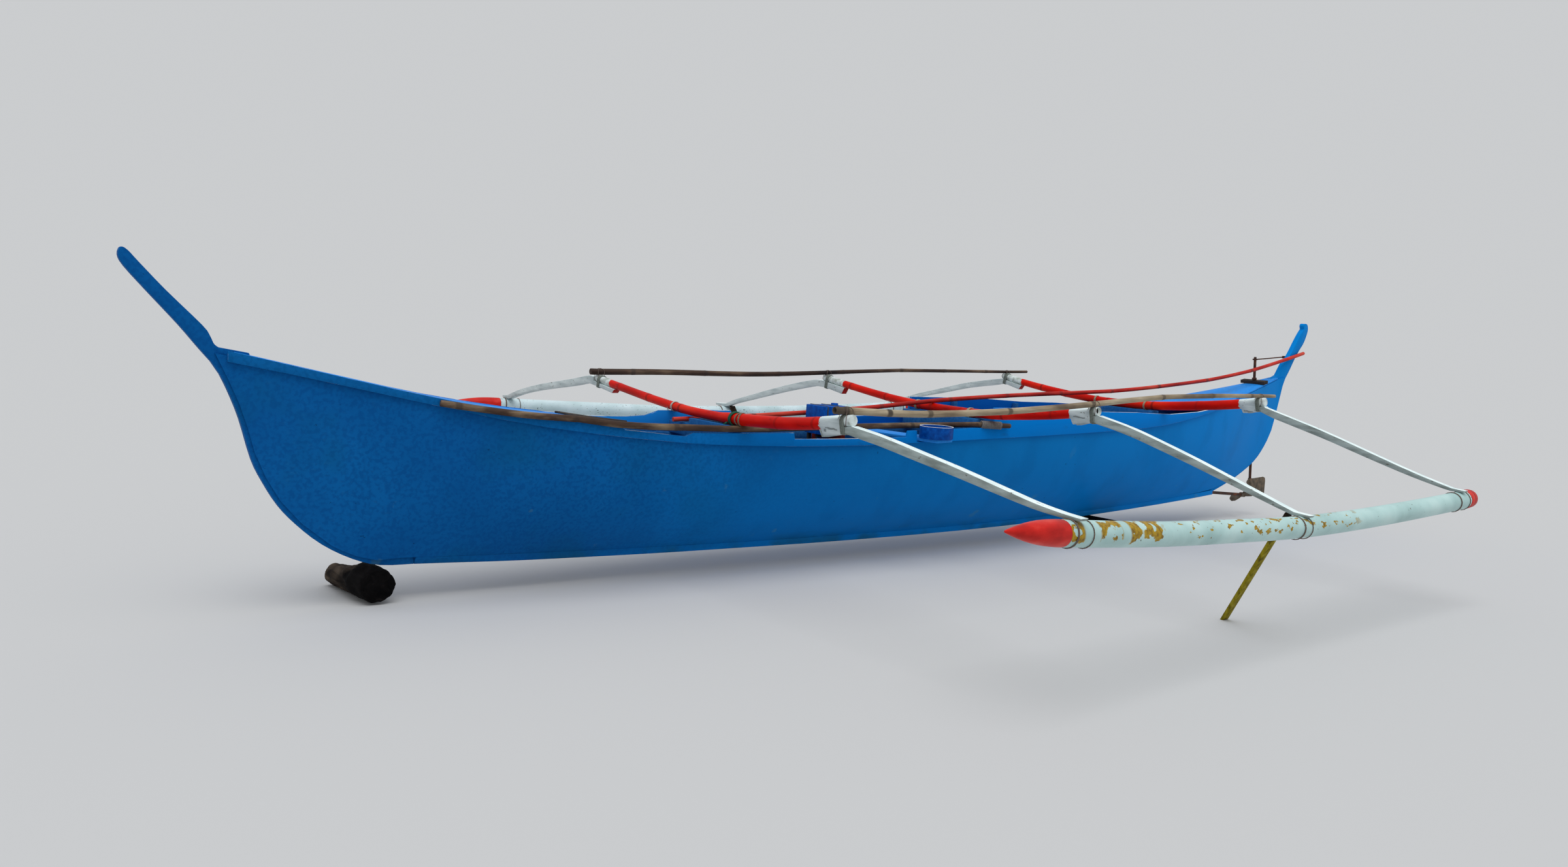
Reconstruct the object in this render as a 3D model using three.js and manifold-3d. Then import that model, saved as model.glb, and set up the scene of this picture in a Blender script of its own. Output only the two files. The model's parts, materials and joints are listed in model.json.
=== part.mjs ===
// A beached wooden outrigger canoe, propped level on two roller logs and two sticks.
// Millimetres, +X towards the bow, +Y to port, +Z up. The origin is on the ground,
// midway between the tip of the stem and the back of the sternpost.

import * as THREE from 'three';
import * as BufferGeometryUtils from 'three/addons/utils/BufferGeometryUtils.js';
import Module from 'manifold-3d';

const wasm = await Module();
wasm.setup();

// Driving dimensions
const CLEAR = 0.3;               // gap between pieces that touch
const POST_HALF = 20;            // half the thickness of the stem and the sternpost
const PLANK = 12;                // thickness of the side planking
const STRAKE = { thick: 16, lean: 0.12, off: 1.5 };
const KEEL = { half: 45, deep: 36, low: 110, foreX: 3470, foreRise: 72, aftX: -3225, aftRise: 112 };
const KEEL_ENDS = { aft: -3300, fore: 3310, taper: 560 };
const POST_EDGE = 18;            // the stem and the post show this far past the planking
const FULLNESS = { middle: 2.4, ends: 1.7 };   // roundness of the sides: 1 is a flat V
const DECK = { thick: 10, below: 14, crown: 6 };
const FLOAT_R = 55;              // four-inch pipe
const ARM = { wide: 46, deep: 46, sole: 38, bend: 30 };
const SHAFT = { r: 12.5, slope: 0.0838, exitX: -3280, exitZ: 242 };
const STOCK = { r: 11, topX: -3800, topZ: 1361, footZ: 285, lean: 0.105 };
const RUN = 0.9;                 // running clearance round a shaft

// The hull's stations, bow to stern: x, half-breadth outside at the sheer, sheer height,
// height of the upper strake's lower edge
const STATIONS = [
    [4180, 33, 1171, 1124],
    [3940, 71, 1120, 1080],
    [3600, 129, 1047, 1012],
    [3280, 185, 982, 946],
    [2870, 245, 916, 868],
    [2400, 299, 862, 809],
    [2000, 333, 832, 773],
    [1500, 357, 824, 752],
    [850, 373, 824, 747],
    [100, 383, 836, 764],
    [-1000, 382, 866, 793],
    [-1740, 371, 894, 820],
    [-2160, 358, 918, 852],
    [-2680, 318, 946, 925],
    [-3190, 222, 1028, 1006],
    [-3700, 117, 1116, 1094],
    [-4150, 33, 1203, 1181],
];
const COLUMN = { half: 1, sheer: 2, band: 3 };

// The outlines of stem and stern from the keel up: x, z of the outer edge
const STEM_EDGE = [
    [3470, 182], [3600, 222], [3735, 297], [3845, 392], [3925, 482], [3992, 592],
    [4040, 694], [4092, 872], [4138, 990], [4172, 1062],
];
const STEM_HEAD = [
    [4207, 1115], [4260, 1177], [4333, 1266], [4448, 1394], [4533, 1492], [4555, 1536], [4545, 1568],
    [4520, 1556], [4482, 1514], [4380, 1404], [4243, 1268], [4213, 1225], [4197, 1191], [4178, 1176],
];
const STERN_EDGE = [
    [-3300, 239], [-3460, 288], [-3665, 362], [-3900, 478], [-4040, 605], [-4128, 740],
    [-4162, 850], [-4197, 976], [-4232, 1110],
];
const STERN_HEAD = [
    [-4269, 1190], [-4328, 1270], [-4384, 1356], [-4444, 1433], [-4499, 1492], [-4533, 1550], [-4555, 1612],
    [-4545, 1655], [-4520, 1670], [-4490, 1667], [-4480, 1648], [-4490, 1624], [-4474, 1606], [-4438, 1565],
    [-4388, 1499], [-4322, 1407], [-4258, 1336], [-4232, 1322], [-4206, 1290], [-4150, 1214],
];

const COLOURS = {
    hull: 0x0c58a2, strake: 0x1a6cb8, deck: 0x3f92e6, inside: 0x1f62a8, red: 0xd43a22, white: 0xdfe8e6,
    bamboo: 0x96826a, dark: 0x3a2b26, steel: 0x5a4a44, tub: 0x1a49b0, prop: 0x8f7a24, bronze: 0x8a7350,
    engine: 0x3c4043, redpole: 0xb8453a, nose: 0xcf4038,
};
const SIDES = { port: 1, starboard: -1 };

const boat = new THREE.Group();

function add(name, geometry, colour, roughness = 0.6, metalness = 0) {
    const mesh = new THREE.Mesh(geometry, new THREE.MeshStandardMaterial({ color: colour, roughness, metalness }));
    mesh.name = name;
    boat.add(mesh);
    return mesh;
}

// Solids from rows of points

function volumeOf(points, faces) {
    return faces.reduce((sum, [a, b, c]) =>
        sum + points[a].dot(new THREE.Vector3().crossVectors(points[b], points[c])) / 6, 0);
}

function closedGeometry(points, faces) {
    const outward = volumeOf(points, faces) > 0 ? faces : faces.map(([a, b, c]) => [a, c, b]);
    const geometry = new THREE.BufferGeometry();
    geometry.setAttribute('position', new THREE.Float32BufferAttribute(points.flatMap((p) => p.toArray()), 3));
    geometry.setIndex(outward.flat());
    return geometry;
}

// A solid through closed rings of points, capped at both ends from the middle of the ring.
function throughRings(rings) {
    const count = rings[0].length;
    const points = rings.flat();
    const faces = [];
    for (let i = 0; i + 1 < rings.length; i++) {
        for (let j = 0; j < count; j++) {
            const a = i * count + j;
            const b = i * count + (j + 1) % count;
            faces.push([a, b, b + count], [a, b + count, a + count]);
        }
    }
    for (const [ring, first] of [[0, true], [rings.length - 1, false]]) {
        const middle = new THREE.Vector3();
        rings[ring].forEach((p) => middle.addScaledVector(p, 1 / count));
        points.push(middle);
        for (let j = 0; j < count; j++) {
            const a = ring * count + j;
            const b = ring * count + (j + 1) % count;
            faces.push(first ? [points.length - 1, b, a] : [points.length - 1, a, b]);
        }
    }
    return closedGeometry(points, faces);
}

// A plate between two grids of points that have the same number of rows and columns.
function betweenGrids(outer, inner) {
    const rows = outer.length;
    const cols = outer[0].length;
    const points = [...outer.flat(), ...inner.flat()];
    const at = (side, i, j) => side * rows * cols + i * cols + j;
    const faces = [];
    const quad = (a, b, c, d) => faces.push([a, b, c], [a, c, d]);
    for (let i = 0; i + 1 < rows; i++) {
        for (let j = 0; j + 1 < cols; j++) {
            quad(at(0, i, j), at(0, i + 1, j), at(0, i + 1, j + 1), at(0, i, j + 1));
            quad(at(1, i, j + 1), at(1, i + 1, j + 1), at(1, i + 1, j), at(1, i, j));
        }
        quad(at(0, i + 1, 0), at(0, i, 0), at(1, i, 0), at(1, i + 1, 0));
        quad(at(0, i, cols - 1), at(0, i + 1, cols - 1), at(1, i + 1, cols - 1), at(1, i, cols - 1));
    }
    for (let j = 0; j + 1 < cols; j++) {
        quad(at(0, 0, j), at(0, 0, j + 1), at(1, 0, j + 1), at(1, 0, j));
        quad(at(0, rows - 1, j + 1), at(0, rows - 1, j), at(1, rows - 1, j), at(1, rows - 1, j + 1));
    }
    return closedGeometry(points, faces);
}

function curveThrough(knots) {
    return new THREE.CatmullRomCurve3(knots.map(([x, y, z]) => new THREE.Vector3(x, y, z)), false, 'centripetal');
}

// Where a pole's rings stand, for knots of x, y, z, radius.
function stands(knots, perSpan) {
    const curve = curveThrough(knots);
    const spans = knots.length - 1;
    return Array.from({ length: spans * perSpan + 1 }, (_, i) => {
        const t = i / (spans * perSpan);
        const along = curve.getTangent(t);
        const across = new THREE.Vector3(0, 0, 1).cross(along).normalize();
        const over = new THREE.Vector3().crossVectors(along, across);
        const k = Math.min(Math.floor(t * spans), spans - 1);
        const radius = THREE.MathUtils.lerp(knots[k][3], knots[k + 1][3], t * spans - k);
        return { centre: curve.getPoint(t), across, over, radius };
    });
}

function pole(knots, sides, perSpan) {
    return throughRings(stands(knots, perSpan).map(({ centre, across, over, radius }) =>
        Array.from({ length: sides }, (_, j) => {
            const angle = 2 * Math.PI * (j + 0.5) / sides;
            return centre.clone().addScaledVector(across, radius * Math.cos(angle))
                .addScaledVector(over, radius * Math.sin(angle));
        })));
}

// The height of a pole's flat top (up 1) or underside (up -1) at a place along x or y.
function poleFace(knots, sides, perSpan, axis, place, up) {
    const flat = Math.cos(Math.PI / sides);
    const line = stands(knots, perSpan).map(({ centre, over, radius }) =>
        centre.clone().addScaledVector(over, up * radius * flat));
    line.sort((a, b) => a[axis] - b[axis]);
    const i = THREE.MathUtils.clamp(line.findIndex((p) => p[axis] >= place), 1, line.length - 1);
    const [a, b] = [line[i - 1], line[i]];
    return THREE.MathUtils.lerp(a.z, b.z, (place - a[axis]) / (b[axis] - a[axis]));
}

// A smooth line through x, z points, as points.
function smooth(table, perSpan) {
    return new THREE.SplineCurve(table.map(([x, z]) => new THREE.Vector2(x, z))).getPoints((table.length - 1) * perSpan);
}

// A plate cut to an outline in the X-Z plane, centred on y = 0.
function plateXZ(outline, thick) {
    const geometry = new THREE.ExtrudeGeometry(new THREE.Shape(outline), { depth: thick, bevelEnabled: false });
    geometry.rotateX(Math.PI / 2);
    geometry.translate(0, thick / 2, 0);
    return geometry;
}

// A plate cut to an outline in the Y-Z plane, centred on x.
function plateYZ(outline, thick, x = 0) {
    const geometry = new THREE.ExtrudeGeometry(new THREE.Shape(outline), { depth: thick, bevelEnabled: false });
    geometry.rotateX(Math.PI / 2);
    geometry.rotateZ(Math.PI / 2);
    geometry.translate(x - thick / 2, 0, 0);
    return geometry;
}

function box(x0, x1, y0, y1, z0, z1) {
    const geometry = new THREE.BoxGeometry(x1 - x0, y1 - y0, z1 - z0);
    geometry.translate((x0 + x1) / 2, (y0 + y1) / 2, (z0 + z1) / 2);
    return geometry;
}

// A round bar between two points.
function rod(from, to, radius, sides = 16) {
    const a = new THREE.Vector3(...from);
    const b = new THREE.Vector3(...to);
    const geometry = new THREE.CylinderGeometry(radius, radius, a.distanceTo(b), sides);
    const up = new THREE.Vector3(0, 1, 0);
    geometry.applyQuaternion(new THREE.Quaternion().setFromUnitVectors(up, b.clone().sub(a).normalize()));
    geometry.translate(...a.add(b).multiplyScalar(0.5).toArray());
    return geometry;
}

// Joins and cuts

function solid(geometry) {
    const bare = geometry.clone();
    bare.deleteAttribute('normal');
    bare.deleteAttribute('uv');
    const merged = BufferGeometryUtils.mergeVertices(bare, 1e-3);
    return new wasm.Manifold(new wasm.Mesh({
        numProp: 3,
        vertProperties: new Float32Array(merged.attributes.position.array),
        triVerts: new Uint32Array(merged.index.array),
    }));
}

function geometryOf(manifold) {
    const { vertProperties, triVerts } = manifold.getMesh();
    const geometry = new THREE.BufferGeometry();
    geometry.setAttribute('position', new THREE.BufferAttribute(vertProperties, 3));
    geometry.setIndex(new THREE.BufferAttribute(triVerts, 1));
    return geometry;
}

function joined(...geometries) {
    return geometryOf(geometries.map(solid).reduce((a, b) => a.add(b)));
}

function cut(geometry, ...tools) {
    return geometryOf(tools.map(solid).reduce((a, b) => a.subtract(b), solid(geometry)));
}

// The hull's form

// A column of the station table at any x, smoothly through the stations.
function atStation(column, x) {
    const last = STATIONS.length - 1;
    const next = STATIONS.findIndex((row) => row[0] <= x);
    const i = THREE.MathUtils.clamp(next < 0 ? last : next, 1, last) - 1;
    const slope = (k) => {
        const a = STATIONS[Math.max(k - 1, 0)];
        const b = STATIONS[Math.min(k + 1, last)];
        return (b[column] - a[column]) / (b[0] - a[0]);
    };
    const [p, q] = [STATIONS[i], STATIONS[i + 1]];
    const run = q[0] - p[0];
    const t = (x - p[0]) / run;
    return (2 * t ** 3 - 3 * t ** 2 + 1) * p[column] + (t ** 3 - 2 * t ** 2 + t) * run * slope(i)
        + (3 * t ** 2 - 2 * t ** 3) * q[column] + (t ** 3 - t ** 2) * run * slope(i + 1);
}

const halfAt = (x) => atStation(COLUMN.half, x);
const sheerAt = (x) => atStation(COLUMN.sheer, x);
const bandAt = (x) => atStation(COLUMN.band, x);

function keelAt(x) {
    return KEEL.low + (x > 0 ? KEEL.foreRise * (x / KEEL.foreX) ** 2 : KEEL.aftRise * (x / KEEL.aftX) ** 2);
}

// The planks' tops: close under the decks, and lower where the hull is open.
const OPEN = { fore: 2360, aft: -2800, fade: 500, drop: 50 };

function plankTopAt(x) {
    const inside = Math.min(OPEN.fore - x, x - OPEN.aft) / OPEN.fade;
    return sheerAt(x) - THREE.MathUtils.lerp(DECK.below, OPEN.drop, THREE.MathUtils.smoothstep(inside, 0, 1));
}

function deckTopAt(x) {
    return plankTopAt(x) + 2 * CLEAR + DECK.crown + DECK.thick;
}

// The hull's outline seen from the side, and the line inside it that the planks' edges follow.
const KEEL_STATIONS = [3000, 2400, 1700, 900, 0, -900, -1700, -2400, -2900];
const OUTLINE = smooth([
    ...STEM_EDGE.toReversed(), ...KEEL_STATIONS.map((x) => [x, keelAt(x)]), ...STERN_EDGE,
], 12);
const EDGE_FADE = 330;

const PLANK_EDGE = OUTLINE.map((p, i) => {
    const before = OUTLINE[Math.max(i - 1, 0)];
    const after = OUTLINE[Math.min(i + 1, OUTLINE.length - 1)];
    const along = after.clone().sub(before).normalize();
    const past = Math.max(p.x - KEEL_ENDS.fore, KEEL_ENDS.aft - p.x) / EDGE_FADE;
    const inset = THREE.MathUtils.lerp(KEEL.deep, POST_EDGE, THREE.MathUtils.smoothstep(past, 0, 1));
    const [x, z] = [p.x + along.y * inset, p.y - along.x * inset];
    const overKeel = x > KEEL_ENDS.aft - 60 && x < KEEL_ENDS.fore + 160;
    return new THREE.Vector2(x, overKeel ? Math.max(z, keelAt(x) + KEEL.deep + 2 * CLEAR) : z);
});

function lowAt(x) {
    const i = THREE.MathUtils.clamp(PLANK_EDGE.findIndex((p) => p.x <= x), 1, PLANK_EDGE.length - 1);
    const [a, b] = [PLANK_EDGE[i - 1], PLANK_EDGE[i]];
    return THREE.MathUtils.lerp(a.y, b.y, (x - a.x) / (b.x - a.x));
}

// Where the planks' edge line rises to a height, at the bow or at the stern.
function edgeX(z, bow) {
    const run = bow ? PLANK_EDGE.filter((p) => p.x > 0) : PLANK_EDGE.filter((p) => p.x < 0).toReversed();
    const i = THREE.MathUtils.clamp(run.findIndex((p) => p.y <= z), 1, run.length - 1);
    const [a, b] = [run[i - 1], run[i]];
    return THREE.MathUtils.lerp(a.x, b.x, (z - a.y) / (b.y - a.y));
}

// The corner where a plank's end edge meets its top edge.
function topCorner(bow) {
    const run = bow ? PLANK_EDGE : PLANK_EDGE.toReversed();
    const p = run.find((q) => q.y < plankTopAt(q.x));
    return new THREE.Vector2(p.x, plankTopAt(p.x));
}

const FOOT = { x: 3700, fade: 650 };
const HEEL = { x: -3860, fade: 800 };
const THIN = POST_HALF + CLEAR + PLANK;
const TOP_FORE = topCorner(true);
const TOP_AFT = topCorner(false);

// The outer half-breadth of the planking at a place in the side view.
function breadthAt(x, z) {
    const low = lowAt(x);
    const high = Math.max(plankTopAt(x), low + 1);
    const t = THREE.MathUtils.clamp((z - low) / (high - low), 0, 1);
    const inside = Math.min((FOOT.x - x) / FOOT.fade, (x - HEEL.x) / HEEL.fade);
    const body = THREE.MathUtils.smoothstep(inside, 0, 1);
    const foot = THREE.MathUtils.lerp(THIN, KEEL.half, body);
    const power = THREE.MathUtils.lerp(FULLNESS.ends, FULLNESS.middle, body);
    return THREE.MathUtils.lerp(foot, Math.max(THIN, halfAt(x)), 1 - (1 - t) ** power);
}

// The inner half-breadth, allowing for the planking's slope.
function insideAt(x, z) {
    const step = 2;
    const slope = (breadthAt(x, z + step) - breadthAt(x, z)) / step;
    return breadthAt(x, z) - PLANK * Math.hypot(1, slope);
}

// A side plank as a patch: u runs from bow to stern, t from the keel to the top edge.
function sidePoint(u, t) {
    const { lerp } = THREE.MathUtils;
    const lowX = lerp(FOOT.x, HEEL.x, u);
    const highX = lerp(TOP_FORE.x, TOP_AFT.x, u);
    const foreZ = lerp(lowAt(FOOT.x), TOP_FORE.y, t);
    const aftZ = lerp(lowAt(HEEL.x), TOP_AFT.y, t);
    const blend = (low, high, fore, aft, corners) => (1 - t) * low + t * high + (1 - u) * fore + u * aft
        - (1 - u) * lerp(corners[0], corners[1], t) - u * lerp(corners[2], corners[3], t);
    const x = blend(lowX, highX, edgeX(foreZ, true), edgeX(aftZ, false), [FOOT.x, TOP_FORE.x, HEEL.x, TOP_AFT.x]);
    const z = blend(lowAt(lowX), plankTopAt(highX), foreZ, aftZ,
        [lowAt(FOOT.x), TOP_FORE.y, lowAt(HEEL.x), TOP_AFT.y]);
    return new THREE.Vector3(x, breadthAt(x, z), z);
}

const SIDE_STEPS = { long: 42, high: 8 };

function sideGrid() {
    return Array.from({ length: SIDE_STEPS.long + 1 }, (_, i) => {
        const wave = Math.cos(Math.PI * i / SIDE_STEPS.long);
        const u = 0.5 - 0.5 * wave * (0.75 + 0.25 * Math.abs(wave));
        return Array.from({ length: SIDE_STEPS.high + 1 }, (_, j) => sidePoint(u, j / SIDE_STEPS.high));
    });
}

// The inside of a grid of outer points: each point moved inwards, square to the surface.
function insideOf(grid, thick) {
    const rows = grid.length;
    const cols = grid[0].length;
    return grid.map((row, i) => row.map((p, j) => {
        const along = grid[Math.min(i + 1, rows - 1)][j].clone().sub(grid[Math.max(i - 1, 0)][j]);
        const up = grid[i][Math.min(j + 1, cols - 1)].clone().sub(grid[i][Math.max(j - 1, 0)]);
        const inward = new THREE.Vector3().crossVectors(along, up).normalize();
        if (inward.y > 0) inward.negate();
        const q = p.clone().addScaledVector(inward, thick);
        const isEnd = i === 0 || i === rows - 1;
        return new THREE.Vector3(isEnd ? p.x : q.x, Math.max(q.y, POST_HALF + CLEAR), isEnd ? p.z : q.z);
    }));
}

function mirrored(grid) {
    return grid.map((row) => row.map((p) => new THREE.Vector3(p.x, -p.y, p.z)));
}

// A loose plank across the hull, with a cut-down tub on its port end.
const THWART = { from: [470, -350], to: [295, 500], wide: 160, thick: 20, low: 766 };
const THWART_NOTCH = { aft: 215, fore: 425 };

// Each side is four sheets, butted end to end: name, first and last row of the side's grid
const SHEETS = [['fore', 0, 12], ['fore_mid', 12, 21], ['aft_mid', 21, 30], ['aft', 30, SIDE_STEPS.long]];

function sheetOf(grid, first, last) {
    return grid.slice(first, last + 1).map((row, i, rows) => row.map((p) => {
        const foreEnd = i === 0 && first > 0;
        const aftEnd = i === rows.length - 1 && last < SIDE_STEPS.long;
        return new THREE.Vector3(p.x - (foreEnd ? CLEAR / 2 : 0) + (aftEnd ? CLEAR / 2 : 0), p.y, p.z);
    }));
}

function sidePlanks() {
    const outer = sideGrid();
    const inner = insideOf(outer, PLANK);
    const notch = box(THWART_NOTCH.aft, THWART_NOTCH.fore, 300, 460, THWART.low - CLEAR, 900);
    for (const [name, first, last] of SHEETS) {
        const [out, within] = [outer, inner].map((grid) => sheetOf(grid, first, last));
        const port = betweenGrids(out, within);
        add(`side_port_${name}`, name === 'fore_mid' ? cut(port, notch) : port, COLOURS.hull, 0.5);
        add(`side_starboard_${name}`, betweenGrids(mirrored(out), mirrored(within)), COLOURS.hull, 0.5);
    }
}

// The planking and the space outside it, which the frames are cut to.
function outsideOfFrames() {
    const outer = sideGrid();
    const inner = insideOf(outer, PLANK + CLEAR);
    const wide = outer.map((row) => row.map((p) => new THREE.Vector3(p.x, p.y + 4 * PLANK, p.z)));
    return [betweenGrids(wide, inner), betweenGrids(mirrored(wide), mirrored(inner))];
}

// Keel timber, stem and sternpost

function shaftZ(x) {
    return SHAFT.exitZ + (x - SHAFT.exitX) * SHAFT.slope;
}

function alongShaft(fromX, toX, radius, sides = 16) {
    return rod([fromX, 0, shaftZ(fromX)], [toX, 0, shaftZ(toX)], radius, sides);
}

const STERN_TUBE = { r: 20, fore: -3120, aft: -3345 };

function sternTubeHole() {
    return alongShaft(STERN_TUBE.fore + 60, STERN_TUBE.aft - 60, STERN_TUBE.r + CLEAR, 20);
}

function keel() {
    const steps = 36;
    const rings = Array.from({ length: steps + 1 }, (_, i) => {
        const x = THREE.MathUtils.lerp(KEEL_ENDS.aft, KEEL_ENDS.fore, i / steps);
        const top = breadthAt(x, lowAt(x));
        const sole = THREE.MathUtils.lerp(POST_HALF, top,
            THREE.MathUtils.smoothstep((KEEL_ENDS.fore - x) / KEEL_ENDS.taper, 0, 1));
        return [[-sole, 0], [sole, 0], [top, 1], [-top, 1]].map(([y, up]) =>
            new THREE.Vector3(x, y, keelAt(x) + up * KEEL.deep));
    });
    add('keel_timber', cut(throughRings(rings), sternTubeHole()), COLOURS.hull, 0.6);
}

function stem() {
    const start = KEEL_ENDS.fore + CLEAR;
    const edge = smooth([[start, keelAt(start)], ...STEM_EDGE], 3);
    const inner = smooth([[4058, 1156], [3985, 900], [3880, 620], [3700, 400], [start, 212]], 4);
    add('stem', plateXZ([...edge, ...smooth(STEM_HEAD, 3), ...inner], 2 * POST_HALF), COLOURS.hull, 0.5);
}

function stockX(z) {
    return STOCK.topX - (STOCK.topZ - z) * STOCK.lean;
}

function stockHole(radius = STOCK.r + RUN) {
    return rod([stockX(100), 0, 100], [stockX(1500), 0, 1500], radius, 20);
}

function sternpost() {
    const start = KEEL_ENDS.aft - CLEAR;
    const edge = smooth([[start, STERN_EDGE[0][1]], ...STERN_EDGE.slice(1)], 3);
    const inner = smooth([[-4040, 1176], [-4030, 900], [-3960, 690], [-3780, 560], [start, 300]], 4);
    const plate = plateXZ([...edge, ...smooth(STERN_HEAD, 3), ...inner], 2 * POST_HALF);
    add('sternpost', cut(plate, stockHole(), sternTubeHole()), COLOURS.hull, 0.5);
}

// Upper strakes: a board outside each plank's top, with cut-downs and a raised wash board.
// x, height of the board's top above the sheer, from the bow aft
const STRAKE_TOPS = {
    port: [
        [4150, 0], [2400, 0], [2370, -16], [2030, -24], [1985, -4], [1345, 0], [1337, -34], [860, -38], [510, -38],
        [500, 0], [432, 0], [426, -70], [214, -70], [208, 0], [-232, 0], [-240, 122], [-900, 98], [-1340, 62],
        [-1740, 40], [-2140, 4], [-2960, 0],
    ],
    starboard: [
        [4150, 0], [2400, 0], [2370, -4], [1985, 8], [1860, 18], [1810, 34], [1770, 48], [1260, 50], [1225, 0],
        [-232, 0], [-240, 122], [-900, 98], [-1340, 62], [-1740, 40], [-2140, 4], [-2960, 0],
    ],
};
const STRAKE_STEP = 230;

function alongTable(table, x) {
    const i = THREE.MathUtils.clamp(table.findIndex((row) => row[0] <= x), 1, table.length - 1);
    const [[x0, a], [x1, b]] = [table[i - 1], table[i]];
    return THREE.MathUtils.lerp(a, b, (x0 - x) / (x0 - x1));
}

// The inner face of the upper strake, which leans in above the sheer.
function strakeInside(x, z) {
    return halfAt(x) + STRAKE.off - Math.max(0, z - sheerAt(x)) * STRAKE.lean;
}

function strake(side) {
    const table = STRAKE_TOPS[side];
    const stops = table.map(([x]) => x);
    const [first, last] = [stops[0], stops[stops.length - 1]];
    for (let x = first - STRAKE_STEP; x > last; x -= STRAKE_STEP) {
        if (!stops.some((s) => Math.abs(s - x) < STRAKE_STEP / 3)) stops.push(x);
    }
    const rings = stops.sort((a, b) => b - a).map((x) => {
        const low = bandAt(x);
        const high = sheerAt(x) + alongTable(table, x);
        const bend = Math.min(sheerAt(x), (low + high) / 2);
        const { thick } = STRAKE;
        return [[0, low], [thick, low], [thick, bend], [thick, high], [0, high], [0, bend]].map(([out, z]) =>
            new THREE.Vector3(x, SIDES[side] * (strakeInside(x, z) + out), z));
    });
    add(`upper_strake_${side}`, throughRings(rings), COLOURS.strake, 0.5);
}

// Decks lie between the upper strakes, on the planks' top edges.
const FOREDECK = { fore: 4120, aft: 2350, post: 4050 };
const AFT_DECK = { fore: -2790, aft: -4120, post: -4038 };

function deck({ fore, aft }) {
    const steps = 10;
    const across = [-1, -0.5, 0, 0.5, 1];
    const grid = (lift) => Array.from({ length: steps + 1 }, (_, i) => {
        const x = THREE.MathUtils.lerp(fore, aft, i / steps);
        const half = Math.max(halfAt(x), THIN) - CLEAR;
        return across.map((s) => new THREE.Vector3(x, s * half,
            plankTopAt(x) + 2 * CLEAR + DECK.crown * (1 - s * s) + lift));
    });
    return betweenGrids(grid(DECK.thick), grid(0));
}

function decks() {
    const slot = (from, to) => box(Math.min(from, to), Math.max(from, to), -POST_HALF - CLEAR, POST_HALF + CLEAR, 1000, 1300);
    add('foredeck', cut(deck(FOREDECK), slot(FOREDECK.post, 4200)), COLOURS.deck, 0.5);
    add('aft_deck', cut(deck(AFT_DECK), slot(AFT_DECK.post, -4200), stockHole(STOCK.r + 8)), COLOURS.deck, 0.5);
}

// Frames: ribs inside the planking, tied by a keelson and two stringers
const RIBS = [2300, 1800, 1230, 620, 20, -640, -1270, -1880, -2500];
const RIB = { wide: 26, deep: 34, clear: 0.8, below: 58, into: 8, foot: 33, toe: 11 };
const STRINGER = { below: 69.5, deep: 44, thick: 22, lap: 6 };
const KEELSON = { half: 30, deep: 30 };

function ribOutline(x, inset) {
    const low = keelAt(x) + KEEL.deep + RIB.clear + inset;
    const washed = alongTable(STRAKE_TOPS.port, x);
    const high = sheerAt(x) + (washed > 10 ? washed - 14 : -RIB.below);
    const steps = 9;
    const half = Array.from({ length: steps + 1 }, (_, i) => {
        const z = THREE.MathUtils.lerp(low, high, (i / steps) ** 1.3);
        const wall = Math.min(insideAt(x, Math.min(z, plankTopAt(x))), strakeInside(x, z) - RIB.clear);
        return new THREE.Vector2(inset > 0 || z > plankTopAt(x) - 20 ? wall - RIB.clear - inset : wall + RIB.into, z);
    });
    if (inset === 0) half.splice(0, 1, new THREE.Vector2(RIB.foot, low), new THREE.Vector2(RIB.foot, low + RIB.toe));
    return [...half, ...half.toReversed().map((p) => new THREE.Vector2(-p.x, p.y))];
}

function rib(x) {
    const inner = ribOutline(x, RIB.deep);
    const top = inner.length / 2 - 1;
    inner[top].y += 2 * RIB.deep;
    inner[top + 1].y += 2 * RIB.deep;
    return cut(plateYZ(ribOutline(x, 0), RIB.wide, x), plateYZ(inner, 2 * RIB.wide, x), ...outsideOfFrames());
}

function stringerY(x) {
    const z = sheerAt(x) - STRINGER.below;
    return insideAt(x, z - STRINGER.deep) - RIB.clear - RIB.deep + STRINGER.lap;
}

function stringer(sign, grow) {
    const steps = 16;
    return throughRings(Array.from({ length: steps + 1 }, (_, i) => {
        const x = THREE.MathUtils.lerp(RIBS[0] + 20 + grow, RIBS[RIBS.length - 1] - 20 - grow, i / steps);
        const z = sheerAt(x) - STRINGER.below;
        return [[-grow, -grow], [STRINGER.thick + grow, -grow],
            [STRINGER.thick + grow, STRINGER.deep + grow], [-grow, STRINGER.deep + grow]].map(([inwards, down]) =>
            new THREE.Vector3(x, sign * (stringerY(x) - inwards), z - down));
    }));
}

function frames() {
    const steps = 12;
    const keelson = throughRings(Array.from({ length: steps + 1 }, (_, i) => {
        const x = THREE.MathUtils.lerp(RIBS[0] + 20, RIBS[RIBS.length - 1] - 20, i / steps);
        return [[-1, 0], [1, 0], [1, 1], [-1, 1]].map(([side, up]) =>
            new THREE.Vector3(x, side * KEELSON.half, keelAt(x) + KEEL.deep + 2 * CLEAR + up * KEELSON.deep));
    }));
    const signs = Object.values(SIDES);
    add('rib_frames', cut(joined(keelson, ...RIBS.map(rib)), ...signs.map((sign) => stringer(sign, CLEAR))),
        COLOURS.inside, 0.6);
    for (const [side, sign] of Object.entries(SIDES)) add(`stringer_${side}`, stringer(sign, 0), COLOURS.inside, 0.6);
}

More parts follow.
